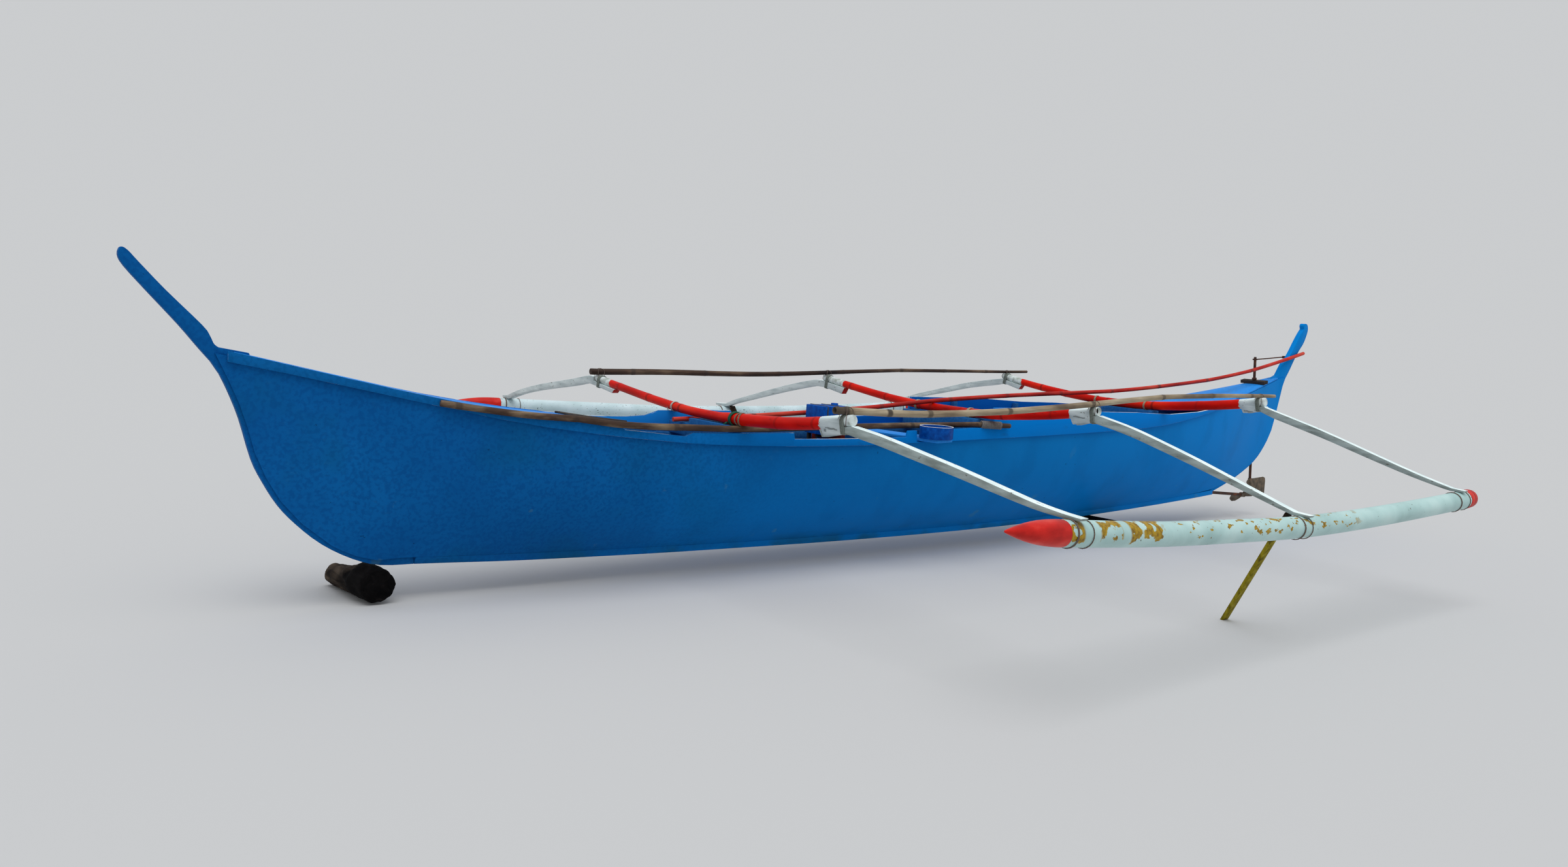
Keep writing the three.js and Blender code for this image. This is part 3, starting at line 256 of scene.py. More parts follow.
# Where the hull's paint changes, in metres forward or up: from, to
HULL_FADES = {
    "middle": (2.2, 0.0), "aft": (-0.3, -3.0), "low": (0.7, 0.35), "behind_bow": (2.6, 1.4),
    "bow": (1.4, 2.6), "foot": (0.21, 0.12), "stained": (0.75, 0.5),
}
STRAKE_FADES = {"aft": (3.0, -0.5), "inner": (0.9, 1.3), "capped": (-0.2, -0.28), "starboard": (-0.1, -0.15)}

# Where the strakes' edges are rubbed to white: from x, to x
RUBBED = ((0.787, 1.348), (2.143, 2.507), (-2.706, -1.363))
RUBBED_FADE = 0.03


def brushed_paint(name, deep, light, roughness=0.42, patch=0.9):
    """House paint brushed along the boat: broad patches, brush marks, fine mottling, chalky scuffs."""
    f = Finish(name, roughness, shine=0.02)
    patches = f.grain(patch, detail=5)
    strokes = f.grain(34, x=0.12, detail=3)
    chalk = f.grain(70, x=0.5, detail=6)
    mottle = f.grain(55, detail=6, shift=(7, 3, 5))
    f.colour = f.ramp(patches, (0.32, deep), (0.68, light))
    f.over(f.fade(strokes, 0.35, 0.75, 0.34), light)
    f.over(f.fade(mottle, 0.45, 0.6, 0.55), deep)
    scuffs = f.both(f.fade(chalk, 0.6, 0.72), f.fade(patches, 0.48, 0.62, 0.1))
    f.over(scuffs, CHALK)
    f.gloss(patches, roughness - 0.08, roughness + 0.14)
    f.relief(strokes, 0.18, 0.0012)
    f.relief(f.grain(2.6, detail=2), 0.35, 0.012)
    return f


def hull_blue():
    """Darker and greener at the bow, lighter aft, with algae along the keel; the dark bow is painted shade
    and the light aft is painted light.
    """
    f = brushed_paint("hull_blue", (8, 76, 142), (12, 98, 168))
    up = f.axis("z")
    along = f.axis("x")
    # Painted shade and light: the blue stays deep at the bow, as if in shade, and lightens towards the middle
    # and aft
    f.over(f.fade(along, *HULL_FADES["middle"], 0.7), (10, 126, 200))
    f.over(f.fade(along, *HULL_FADES["aft"], 0.75), (4, 134, 220))
    low = f.both(f.fade(up, *HULL_FADES["low"], 0.55), f.fade(along, *HULL_FADES["behind_bow"]))
    f.over(low, (6, 122, 204))
    weather = f.grain(4.5, z=0.5, detail=7, shift=(1, 8, 3))
    f.over(f.fade(weather, 0.5, 0.66, 0.12), (0, 62, 122))
    clouds = f.grain(1.7, detail=6, shift=(5, 2, 1))
    green = f.both(f.fade(clouds, 0.48, 0.66, 0.5), f.fade(along, *HULL_FADES["bow"]))
    f.over(green, (10, 84, 124))
    growth = f.grain(9, x=0.5, detail=7)
    foot = f.both(f.fade(up, *HULL_FADES["foot"]), f.fade(growth, 0.44, 0.62, 0.55))
    f.over(foot, ALGAE)
    blotches = f.grain(7.5, detail=5, shift=(3, 1, 2))
    stains = f.both(f.fade(blotches, 0.68, 0.72, 0.16), f.fade(up, *HULL_FADES["stained"]))
    f.over(stains, FLECK)
    nicks = f.grain(44, detail=2, shift=(9, 1, 4))
    f.over(f.fade(nicks, 0.74, 0.77, 0.5), (6, 40, 74))
    return f.done()


def strake_blue():
    """Lighter aft and brighter inboard, both painted light, with the darker bow a painted shade; white along
    the top where rubbed and on starboard's after part.
    """
    f = brushed_paint("strake_blue", (8, 82, 142), (14, 100, 168))
    along = f.axis("x")
    out = f.axis("y")
    # Painted shade and light: the blue stays deep at the bow, as if in shade, and lightens aft
    f.over(f.fade(along, *STRAKE_FADES["aft"], 0.85), (0, 126, 216))
    dirt = f.grain(16, x=0.4, detail=6, shift=(1, 4, 2))
    f.over(f.fade(dirt, 0.64, 0.76, 0.25), (30, 60, 92))
    # Painted light: inboard faces get a lighter blue, lightest forward, to brighten faces that lie in shade
    inboard = f.both(f.calc("SIGN", out), f.facing("y"))
    inner = f.mix(f.fade(along, *STRAKE_FADES["inner"]), (6, 94, 188), (30, 140, 230))
    f.over(f.fade(inboard, -0.2, -0.5), inner)
    capped = f.both(f.fade(along, *STRAKE_FADES["capped"]), f.fade(out, *STRAKE_FADES["starboard"]))
    rubbed = f.both(f.calc("MAXIMUM", capped, f.rubbed(along)), f.fade(f.facing("z"), 0.6, 0.8))
    f.over(f.both(rubbed, f.fade(dirt, 0.34, 0.46)), (206, 220, 226))
    return f.done()


def worn_edge_and_shadow():
    """The strakes' corners, chipped down to white undercoat, with a painted shadow line on the rounds that
    face down.
    """
    f = Finish("worn_edge_and_shadow", 0.5)
    chips = f.grain(30, x=0.35, detail=6)
    rubbed = f.both(f.rubbed(f.axis("x")), f.fade(chips, 0.36, 0.44))
    bare = f.calc("MAXIMUM", f.fade(chips, 0.56, 0.62, 0.8), rubbed)
    blue = f.ramp(chips, (0.3, (16, 100, 178)), (0.7, (34, 132, 214)))
    f.colour = f.mix(bare, blue, UNDERCOAT)
    # Painted shadow: the rounds that face down are dark blue, a shadow line under each strake
    f.over(f.fade(f.facing("z"), -0.2, -0.5), (2, 34, 74))
    return f.done()


def deck_blue():
    f = brushed_paint("deck_blue", (34, 128, 216), (50, 148, 234), patch=2.0)
    dirt = f.grain(7, detail=7, shift=(2, 5, 1))
    f.over(f.fade(dirt, 0.6, 0.74, 0.3), (96, 108, 112))
    return f.done()


def inside_blue():
    """Paler paint, dirty in the bilge."""
    f = brushed_paint("inside_blue", (24, 84, 148), (52, 118, 180), roughness=0.6, patch=2.2)
    dirt = f.grain(11, detail=7)
    bilge = f.both(f.fade(f.axis("z"), 0.5, 0.2), f.fade(dirt, 0.36, 0.6, 0.8))
    f.over(bilge, (92, 84, 70))
    return f.done()


# How far a beam's edge of white paint wanders and fades, and half the width of its joints' rings
BEAM_EDGE = {"wander": 0.008, "fade": 0.003, "ring": 0.006}


def beam_red(name, whites, joints):
    """Orange-red paint over a smooth jointed pole, white from a distance out on each side."""
    f = Finish(name, 0.42, shine=0.08)
    blots = f.grain(6, y=0.35, detail=5)
    fine = f.grain(60, y=0.2, detail=4)
    f.colour = f.ramp(blots, (0.3, (160, 6, 0)), (0.52, (206, 18, 4)), (0.75, (228, 46, 18)))
    f.over(f.fade(fine, 0.64, 0.72, 0.5), (96, 18, 16))
    out = f.axis("y")
    f.over(f.joint_marks(out, joints, BEAM_EDGE["ring"], blots, 0.6), (90, 18, 14))
    edge = f.ragged(out, fine, BEAM_EDGE["wander"])
    port, starboard = (f.fade(edge, sign * (white - BEAM_EDGE["fade"]), sign * (white + BEAM_EDGE["fade"]))
                       for sign, white in zip(SIDES.values(), whites))
    grime = f.ramp(f.grain(24, detail=6), (0.4, (216, 226, 226)), (0.66, (158, 166, 158)))
    f.over(f.calc("MAXIMUM", port, starboard), grime)
    f.relief(fine, 0.25, 0.001)
    return f.done()


# The arms' sides, dull and pale: painted shade, with some grime in it
SHADED = {
    "port": ((126, 136, 133), (164, 177, 175)),
    "starboard": ((170, 182, 184), (200, 210, 211)),
}
# Painted shade in the gaps: how far its edge wanders, and how it fades in y and z
GAP_SHADE = {"wander": 0.004, "fade_y": 0.005, "fade_z": 0.002}
RED_ROOT = {"y": -1.03, "fade": 0.02}


def arm_white(name, side, gap_shades=(), red_root=False):
    """White paint, bright on top and greyer on the sides, the grey a painted shade with some grime, and
    ragged grey painted shade in the gaps: y, y, z, z.
    """
    f = Finish(name, 0.5, shine=0.15)
    stains = f.grain(34, y=0.2, detail=7)
    chips = f.grain(62, y=0.5, detail=5, shift=(2, 2, 2))
    top = f.ramp(stains, (0.3, (214, 234, 236)), (0.6, (238, 252, 252)))
    dull, pale = SHADED[side]
    # Painted shade: faces that point up take the bright white, the sides the duller shades
    f.colour = f.mix(f.fade(f.facing("z"), 0.4, 0.8), f.ramp(stains, (0.34, dull), (0.62, pale)), top)
    f.over(f.fade(chips, 0.66, 0.7, 0.7), (88, 80, 68))
    # Painted shade: grey in the slots between the beam and the arm's root
    for y0, y1, z0, z1 in gap_shades:
        ragged = f.ragged(f.axis("z"), chips, GAP_SHADE["wander"])
        gap = f.both(f.within(f.axis("y"), y0, y1, GAP_SHADE["fade_y"]), f.within(ragged, z0, z1, GAP_SHADE["fade_z"]))
        f.over(f.both(gap, f.fade(f.facing("x"), 0.5, 0.9, 0.6)), (60, 62, 56))
    if red_root:
        inward = f.fade(f.facing("y"), 0.3, 0.6)
        root = f.both(inward, f.fade(f.axis("y"), RED_ROOT["y"] - RED_ROOT["fade"], RED_ROOT["y"]))
        f.over(root, (190, 22, 8))
    f.relief(chips, 0.2, 0.001)
    return f.done()


# Where the port float's paint has come off down to the yellow primer: from x, to x
BARE_PATCHES = ((1.67, 1.76), (1.41, 1.55), (1.27, 1.34), (1.1, 1.25))
BARE_FADE = 0.012
FLECKED = {"from": -0.6, "to": 1.0, "fade": 0.15}
FLOAT_TINTS = {
    "port": ((160, 194, 192), (182, 214, 212), (202, 228, 225)),
    "starboard": ((178, 202, 204), (202, 222, 226), (220, 236, 240)),
}


def float_white(side):
    """White pipe: port's paint flaked above down to yellow primer, starboard's dotted with dirt."""
    f = Finish(f"float_white_{side}", 0.42, shine=0.25)
    dull, pale, bright = FLOAT_TINTS[side]
    f.colour = f.ramp(f.grain(5, detail=7), (0.3, dull), (0.55, pale), (0.8, bright))
    if side == "port":
        along = f.axis("x")
        specks = f.grain(58, detail=3, shift=(4, 1, 0))
        flakes = f.grain(19, x=0.8, detail=8)
        flecks = f.grain(30, x=0.6, detail=8, shift=(5, 2, 1))
        above = f.fade(f.calc("ADD", f.facing("z"), f.calc("MULTIPLY", flakes, 2.0)), 0.78, 0.84)
        flecked = f.within(along, FLECKED["from"], FLECKED["to"], FLECKED["fade"])
        scaled = f.both(flecked, f.fade(flecks, 0.59, 0.6))
        for low, high in BARE_PATCHES:
            patch = f.both(f.within(along, low, high, BARE_FADE), f.fade(flakes, 0.46, 0.472))
            scaled = f.calc("MAXIMUM", scaled, patch)
        scaled = f.both(scaled, above)
        primer = f.ramp(specks, (0.35, (122, 92, 0)), (0.6, (172, 138, 4)))
        f.over(f.fade(specks, 0.71, 0.74, 0.85), (84, 74, 50))
        f.over(scaled, primer)
        f.relief(scaled, 0.4, -0.0012)
    else:
        dots = f.grain(95, x=0.6, detail=2, shift=(4, 1, 0))
        f.over(f.fade(dots, 0.66, 0.7, 0.85), (62, 70, 60))
    return f.done()


# Painted shade in the rear caps' grooves: where they lie along x, and their half width
CAP_GROOVE_SHADES = {"x": (-2.15, -2.178), "half": 0.003}


def cone_red():
    """Red noses, and rear caps with two grooves drawn as dark rings of painted shade, and a pale worn end."""
    f = Finish("cone_red", 0.4, shine=0.15)
    rubs = f.grain(16, x=0.5, detail=6)
    f.colour = f.ramp(rubs, (0.3, (166, 16, 12)), (0.55, (206, 34, 26)), (0.78, (222, 74, 62)))
    # Painted shade: dark rings where the grooves lie
    groove_shade = f.joint_marks(f.axis("x"), CAP_GROOVE_SHADES["x"], CAP_GROOVE_SHADES["half"], rubs, 0.8)
    f.over(groove_shade, (84, 14, 12))
    worn = f.both(f.fade(f.facing("x"), -0.8, -0.95), f.fade(f.grain(40, detail=4), 0.46, 0.54))
    f.over(worn, (198, 186, 120))
    f.relief(rubs, 0.15, 0.001)
    return f.done()


CANE = {"ring": 0.011, "burn_from": 0.05, "burn_to": 0.02}


def cane(name, shades, way, joints=(), smudged=0.0, burnt=None):
    """Bamboo: long fibres, weather streaks and smudged joints along the pole."""
    f = Finish(name, 0.6, shine=0.2)
    dark, middle, pale = shades
    fibres = f.grain(120, **{way: 0.06})
    weather = f.grain(9, detail=6, **{way: 0.3})
    f.colour = f.ramp(weather, (0.3, dark), (0.5, middle), (0.72, pale))
    f.over(f.fade(fibres, 0.4, 0.7, 0.45), dark)
    along = f.axis(way)
    if joints:
        f.over(f.joint_marks(along, joints, CANE["ring"], weather, smudged), SMUDGE)
    if burnt is not None:
        charred = f.fade(along, burnt - CANE["burn_from"], burnt + CANE["burn_to"], 0.8)
        f.over(charred, SMUDGE)
    f.relief(fibres, 0.35, 0.0012)
    return f.done()


def timber(name, dark, light, along_y=1.0):
    """Dark wood, its grain drawn out across the boat where the share along y is under 1."""
    f = Finish(name, 0.75)
    rings = f.grain(60, detail=5, twist=0.4, y=along_y)
    blots = f.grain(8, detail=6)
    f.colour = f.ramp(rings, (0.32, dark), (0.68, light))
    f.over(f.fade(blots, 0.5, 0.75, 0.55), dark)
    f.relief(rings, 0.5, 0.002)
    return f.done()


# Where the log's char ends, along y, and the prop sticks' dark tops begin, along z
CHAR = {"wander": 0.12, "fade": (-0.12, -0.22)}
PROP_TOP = {"wander": 0.04, "fade": (0.56, 0.6)}


def charred_log():
    """Charred at the near end, weathered grey-brown further off."""
    f = Finish("charred_log", 0.9, shine=0.08)
    bark = f.grain(22, y=0.25, detail=8, twist=0.8)
    cracks = f.grain(7, y=0.6, detail=7)
    black = f.ramp(bark, (0.35, (3, 3, 4)), (0.62, (14, 12, 13)), (0.8, (44, 38, 36)))
    grey = f.ramp(bark, (0.35, (38, 30, 26)), (0.7, (96, 84, 72)))
    reach = f.ragged(f.axis("y"), cracks, CHAR["wander"])
    f.colour = f.mix(f.fade(reach, *CHAR["fade"]), black, grey)
    f.over(f.fade(cracks, 0.58, 0.7, 0.6), (6, 5, 6))
    f.relief(bark, 0.8, 0.008)
    return f.done()


def prop_wood():
    """Olive-yellow paint worn along the grain, dark brown at the top."""
    f = Finish("prop_wood", 0.7, shine=0.1)
    fibres = f.grain(60, z=0.08, detail=5, twist=0.4)
    blots = f.grain(14, detail=6)
    f.colour = f.ramp(fibres, (0.3, (98, 86, 6)), (0.6, (152, 138, 30)), (0.8, (176, 166, 96)))
    f.over(f.fade(blots, 0.58, 0.68, 0.8), (70, 58, 24))
    reach = f.ragged(f.axis("z"), blots, PROP_TOP["wander"])
    f.over(f.fade(reach, *PROP_TOP["fade"]), (46, 34, 24))
    f.relief(fibres, 0.4, 0.0015)
    return f.done()


def rusty(name, dark, light, metallic=0.4):
    f = Finish(name, 0.7, metallic=metallic)
    scale = f.grain(28, detail=8)
    f.colour = f.ramp(scale, (0.32, dark), (0.6, light), (0.78, (140, 78, 46)))
    f.gloss(scale, 0.55, 0.85)
    f.relief(f.grain(120, detail=4), 0.4, 0.001)
    return f.done()


def plastic(name, deep, light, roughness=0.35):
    f = Finish(name, roughness, shine=0.08)
    scratches = f.grain(40, detail=6)
    f.colour = f.ramp(scratches, (0.35, deep), (0.75, light))
    f.gloss(scratches, roughness - 0.06, roughness + 0.15)
    return f.done()


def cord_finish(name, dark, light):
    f = Finish(f"cord_{name}", 0.85)
    lay = f.grain(420, detail=2)
    f.colour = f.ramp(lay, (0.35, dark), (0.65, light))
    f.relief(lay, 0.6, 0.0008)
    return f.done()


HULL = hull_blue()
STRAKE = strake_blue()
EDGE = worn_edge_and_shadow()
DECK = deck_blue()
INSIDE = inside_blue()
CONE = cone_red()
# Painted shade: near-black inside the poles' open ends, where light does not reach
HOLLOW_SHADE = timber("hollow_shade", (8, 6, 6), (26, 20, 18))
LOG = charred_log()
PROP = prop_wood()
DARK_WOOD = timber("dark_wood", (26, 22, 22), (62, 52, 46), 0.1)
RUST = rusty("rusty_steel", (48, 34, 32), (92, 62, 50))
BLADE = rusty("blade_steel", (70, 60, 50), (112, 100, 84), metallic=0.1)
BRONZE = rusty("dull_bronze", (76, 66, 56), (126, 114, 100), metallic=0.6)
IRON = rusty("engine_iron", (36, 38, 42), (66, 68, 70), metallic=0.5)
SHROUD = plastic("engine_shroud", (104, 26, 18), (142, 44, 30), roughness=0.5)
TUB = plastic("tub_blue", (0, 58, 136), (4, 86, 178))
TUB_RIM = plastic("tub_rim", (206, 212, 214), (236, 240, 242))
TANK = plastic("tank_blue", (0, 66, 150), (8, 92, 190), roughness=0.45)
CORD = {name: cord_finish(name, *shades) for name, shades in {
    "dark": ((34, 38, 34), (78, 84, 76)),
    "grey": ((84, 92, 86), (140, 148, 140)),
    "taupe": ((78, 64, 58), (132, 116, 106)),
    "beige": ((130, 116, 94), (190, 176, 150)),
    "white": ((150, 150, 142), (206, 206, 198)),
    "green": ((14, 62, 50), (36, 104, 80)),
    "frayed": ((76, 78, 84), (140, 134, 126)),
    "brown": ((84, 66, 56), (150, 134, 116)),
}.items()}


# Making pieces
WELD = 0.00004
QUADS = {"face_threshold": math.radians(40), "shape_threshold": math.radians(70)}
FLAT_WITHIN = math.radians(0.4)
END_FACE = {"facing": 0.8, "near": 0.012}
POLE_EDGE = {"width": 0.002, "sharp": 50}

# The poles' open ends: the way that each faces along its axis, its wall and how deep it shows
HOLLOW_ENDS = {"beam_mid": (1, 0.005, 0.02), "cane_port": (1, 0.006, 0.02), "cane_gunwale": (-1, 0.005, 0.02)}


def nothing_selected():
    if bpy.context.object and bpy.context.object.mode != "OBJECT":
        bpy.ops.object.mode_set(mode="OBJECT")
    bpy.ops.object.select_all(action="DESELECT")


@contextmanager
def editing(kind=None, everything=False):
    """Edit mode for the active piece, for one kind of element or with everything selected."""
    bpy.ops.object.mode_set(mode="EDIT")
    if kind:
        bpy.ops.mesh.select_mode(type=kind)
    if everything:
        bpy.ops.mesh.select_all(action="SELECT")
    yield
    bpy.ops.object.mode_set(mode="OBJECT")


def only(piece):
    nothing_selected()
    piece.select_set(True)
    bpy.context.view_layer.objects.active = piece


def pick(piece, faces):
    """Selects the faces for which the test holds."""
    for part in (piece.data.vertices, piece.data.edges, piece.data.polygons):
        part.foreach_set("select", [False] * len(part))
    for face in piece.data.polygons:
        face.select = faces(face)


def ready(piece, nodes=(), smooth=35, body="canoe"):
    """Smooths a finished piece and sets it on its body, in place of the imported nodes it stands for."""
    only(piece)
    bpy.ops.object.shade_smooth_by_angle(angle=math.radians(smooth))
    if nodes:
        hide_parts(*nodes)
    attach(piece, body)


def stand(name, data, finish):
    """A new piece from a curve or a mesh."""
    data.materials.append(finish)
    piece = bpy.data.objects.new(name, data)
    bpy.context.scene.collection.objects.link(piece)
    only(piece)
    return piece


def copy_of(name, nodes, finishes):
    """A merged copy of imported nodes, under its own name and finishes."""
    nothing_selected()
    for node in nodes:
        NODES[node].select_set(True)
    bpy.context.view_layer.objects.active = NODES[nodes[0]]
    bpy.ops.object.duplicate()
    if len(nodes) > 1:
        bpy.context.view_layer.objects.active = bpy.context.selected_objects[0]
        bpy.ops.object.join()
    piece = bpy.context.view_layer.objects.active
    piece.name = name
    piece.parent = None
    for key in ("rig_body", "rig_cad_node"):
        if key in piece:
            del piece[key]
    piece.data.materials.clear()
    for finish in finishes:
        piece.data.materials.append(finish)
    piece.data.polygons.foreach_set("material_index", [0] * len(piece.data.polygons))
    only(piece)
    bpy.ops.mesh.customdata_custom_splitnormals_clear()
    with editing(everything=True):
        bpy.ops.mesh.remove_doubles(threshold=WELD)
        bpy.ops.mesh.tris_convert_to_quads(**QUADS)
    return piece


def soften(piece, width, sharp=30, finish=0, segments=2, flat=True):
    """Rounds a piece's sharp edges; the round faces can take a finish of their own."""
    only(piece)
    with editing("EDGE"):
        if flat:
            bpy.ops.mesh.select_all(action="SELECT")
            bpy.ops.mesh.dissolve_limited(angle_limit=FLAT_WITHIN)
        bpy.ops.mesh.select_all(action="DESELECT")
        bpy.ops.mesh.edges_select_sharp(sharpness=math.radians(sharp))
        bpy.ops.mesh.bevel(offset=width, segments=segments, affect="EDGES", clamp_overlap=True,
                           material=finish)


def swell(piece, letter, places, bulge, width):
    """Raises a joint round a pole at each place along it."""
    only(piece)
    way = Vector([1.0 if axis == letter else 0.0 for axis in AXES])
    with editing():
        for place in places:
            for step in (-1, 1, 0):
                bpy.ops.mesh.select_all(action="SELECT")
                bpy.ops.mesh.bisect(plane_co=way * (place + step * width), plane_no=way)
            bpy.ops.transform.shrink_fatten(value=bulge)


def hollow_end(piece, letter, sign, wall, depth):
    """Opens the end of a pole that faces along an axis; the hole takes the second finish."""
    index = AXES[letter]
    reach = max(sign * v.co[index] for v in piece.data.vertices)
    only(piece)
    pick(piece, lambda face: sign * face.normal[index] > END_FACE["facing"]
         and sign * face.center[index] > reach - END_FACE["near"])
    with editing("FACE"):
        bpy.ops.mesh.dissolve_faces()
        bpy.ops.mesh.inset(thickness=wall)
        inward = [-sign * depth if axis == letter else 0 for axis in AXES]
        bpy.ops.mesh.extrude_region_move(TRANSFORM_OT_translate={"value": inward})
    for face in piece.data.polygons:
        if face.select:
            face.material_index = 1


def skin(name, node, finishes, edge=0.0, edge_finish=0, body="canoe"):
    """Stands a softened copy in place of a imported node."""
    piece = copy_of(name, [node], finishes)
    if edge:
        soften(piece, edge, finish=edge_finish)
    ready(piece, [node], body=body)


def round_pole(name, node, finish, letter="x", joints=(), swollen=None):
    """A pole or float: ends softened, joints raised, flats rounded with one level of subdivision."""
    piece = copy_of(name, [node], [finish, HOLLOW_SHADE] if name in HOLLOW_ENDS else [finish])
    soften(piece, POLE_EDGE["width"], sharp=POLE_EDGE["sharp"], flat=False)
    if joints:
        swell(piece, letter, joints, *swollen)
    if name in HOLLOW_ENDS:
        hollow_end(piece, letter, *HOLLOW_ENDS[name])
    only(piece)
    bpy.ops.object.modifier_add(type="SUBSURF")
    piece.modifiers[-1].levels = 1
    bpy.ops.object.modifier_apply(modifier=piece.modifiers[-1].name)
    ready(piece, [node], 50)


# Hull
BUTT = {"facing": 0.8, "reach": 3.0, "gap": 0.0006, "inner": 0.15}
STRAKE_EDGE = 0.0045
STRINGER_EDGE = 0.0025

# The hull's other pieces: name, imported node, finish, slot, width of the rounded edge
HULL_SKINS = (
    ("keel_timber_board", "keel_timber", HULL, "hull_paint", 0.004),
    ("stem_board", "stem", HULL, "hull_paint", 0.006),
    ("sternpost_board", "sternpost", HULL, "hull_paint", 0.006),
    ("foredeck_boards", "foredeck", DECK, "deck_paint", 0.002),
    ("aft_deck_boards", "aft_deck", DECK, "deck_paint", 0.002),
    ("ribs_and_keelson", "rib_frames", INSIDE, "inside_paint", 0.0),
    *((f"bearer_{name}", f"beam_bearer_{name}", INSIDE, "inside_paint", 0.003)
      for name in ("fore", "mid", "aft")),
    ("thwart_board", "thwart_plank", DECK, "deck_paint", 0.003),
    ("engine_bearers", "engine_bed", INSIDE, "inside_paint", 0.0),
)


def side_planking(side):
    """One side's plywood, its sheets' butts closed and painted over."""
    nodes = [f"side_{side}_{part}" for part in ("fore", "fore_mid", "aft_mid", "aft")]
    piece = copy_of(f"side_planking_{side}", nodes, [HULL, INSIDE])
    pick(piece, lambda face: abs(face.normal.x) > BUTT["facing"] and abs(face.center.x) < BUTT["reach"])
    with editing("FACE"):
        bpy.ops.mesh.delete(type="ONLY_FACE")
        bpy.ops.mesh.select_all(action="SELECT")
        bpy.ops.mesh.remove_doubles(threshold=BUTT["gap"])
    inward = -SIDES[side]
    for face in piece.data.polygons:
        if face.normal.y * inward > BUTT["inner"]:
            face.material_index = 1
    ready(piece, nodes, 30)


def hull():
    for side in SIDES:
        side_planking(side)
        skin(f"strake_board_{side}", f"upper_strake_{side}", [STRAKE, EDGE], STRAKE_EDGE, 1)
        skin(f"stringer_{side}_board", f"stringer_{side}", [INSIDE], STRINGER_EDGE)
    for name, node, finish, slot, edge in HULL_SKINS:
        skin(name, node, [finish], edge)


# Beams, arms and floats. How far out the white paint and the end lashings lie, port first; the port sleeve's
# ends and the joints, along y; the cord rings round the floats before and behind each arm, along x
BEAMS = {
    "fore": {"x": 1.684, "whites": (1.03, 1.06), "bands": (1.207, 1.19), "sleeve": (1.036, 1.2),
             "joints": (-0.95, -0.6, -0.24, 0.34, 0.68, 0.98), "rings": (1.716, 1.612)},
    "mid": {"x": -0.18, "whites": (1.036, 1.0), "bands": (1.202, 1.178), "sleeve": (1.037, 1.19),
            "joints": (-0.92, -0.55, -0.2, 0.16, 0.52, 0.9), "rings": (-0.12, -0.195)},
    "aft": {"x": -2.025, "whites": (0.986, 0.95), "bands": (1.124, 1.12), "sleeve": (0.99, 1.11),
            "joints": (-0.74, -0.5, -0.1, 0.3, 0.66), "rings": (-1.952, -2.07)},
}
BEAM_SWOLLEN = (0.002, 0.012)
ARM_EDGE = 0.0025

# Grey painted shade in the gaps on the fore side of the sleeves: y, y, z, z
SLEEVE_GAP_SHADES = {
    "fore": ((1.085, 1.17, 0.933, 0.937), (1.076, 1.088, 0.918, 0.928)),
    "mid": ((1.072, 1.152, 0.98, 0.986),),
    "aft": ((1.03, 1.09, 1.012, 1.016),),
}


def beams():
    for name, beam in BEAMS.items():
        paint = beam_red(f"beam_red_{name}", beam["whites"], beam["joints"])
        round_pole(f"beam_{name}", f"cross_beam_{name}", paint, "y", beam["joints"],
                   BEAM_SWOLLEN)
        for side in SIDES:
            paint = arm_white(f"arm_white_{name}_{side}", side, red_root=side == "starboard")
            skin(f"arm_{name}_{side}_timber", f"arm_{name}_{side}", [paint], ARM_EDGE)
        sleeve(name)


def floats():
    for side in SIDES:
        round_pole(f"float_pipe_{side}", f"float_{side}", float_white(side))
        round_pole(f"nose_{side}", f"nose_cone_{side}", CONE)
        round_pole(f"rear_{side}", f"rear_cap_{side}", CONE)


# Stowed poles: name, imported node, slot; dark, middle and pale shades; how strongly the joints are smudged;
# the joints along x; how far these stand out, and how wide they are
POLES = (
    ("cane_port", "pole_port", "bamboo", ((102, 88, 72), (154, 138, 114), (192, 178, 152)), 0.9,
     (1.7, 1.42, 1.142, 0.548, -0.15, -0.856, -1.42, -1.9), (0.0028, 0.008)),
    ("cane_starboard", "pole_starboard", "dark_wood", ((32, 22, 20), (78, 58, 46), (140, 116, 92)), 0.6,
     (1.45, 0.886, 0.262, -0.32, -0.882, -1.332, -1.78), (0.002, 0.004)),
    # The gunwale pole's dark shades are partly painted shade, from the shadow over its fore part
    ("cane_gunwale", "pole_gunwale", "bamboo", ((30, 20, 16), (76, 56, 44), (156, 136, 108)), 0.7,
     (3.205, 2.645, 2.089, 1.5, 0.95, 0.42, -0.12), (0.0025, 0.006)),
    ("long_pole", "pole_long_red", "red_pole", ((140, 20, 14), (196, 42, 32), (216, 82, 62)), 0.7,
     (1.25, 0.76, 0.272, -0.318, -0.85, -1.392, -1.95, -2.5, -3.1, -3.7), (0.0015, 0.004)),
)
PORT_BURNT = 1.69
STICK_SHADES = ((30, 26, 24), (60, 52, 46), (100, 90, 78))


def stowed_poles():
    for name, node, slot, shades, smudged, joints, swollen in POLES:
        paint = cane(name, shades, "x", joints, smudged, PORT_BURNT if name == "cane_port" else None)
        round_pole(name, node, paint, "x", joints, swollen)
    round_pole("deck_stick", "thin_stick", cane("deck_stick", STICK_SHADES, "y"))


# Logs and sticks
BARK = {"cuts": 3, "depth": 3, "size": 0.07, "rough": 0.024, "middle": 0.85}
LOG_EDGE = {"width": 0.012, "sharp": 50, "segments": 3}
PROP_EDGE = 0.002


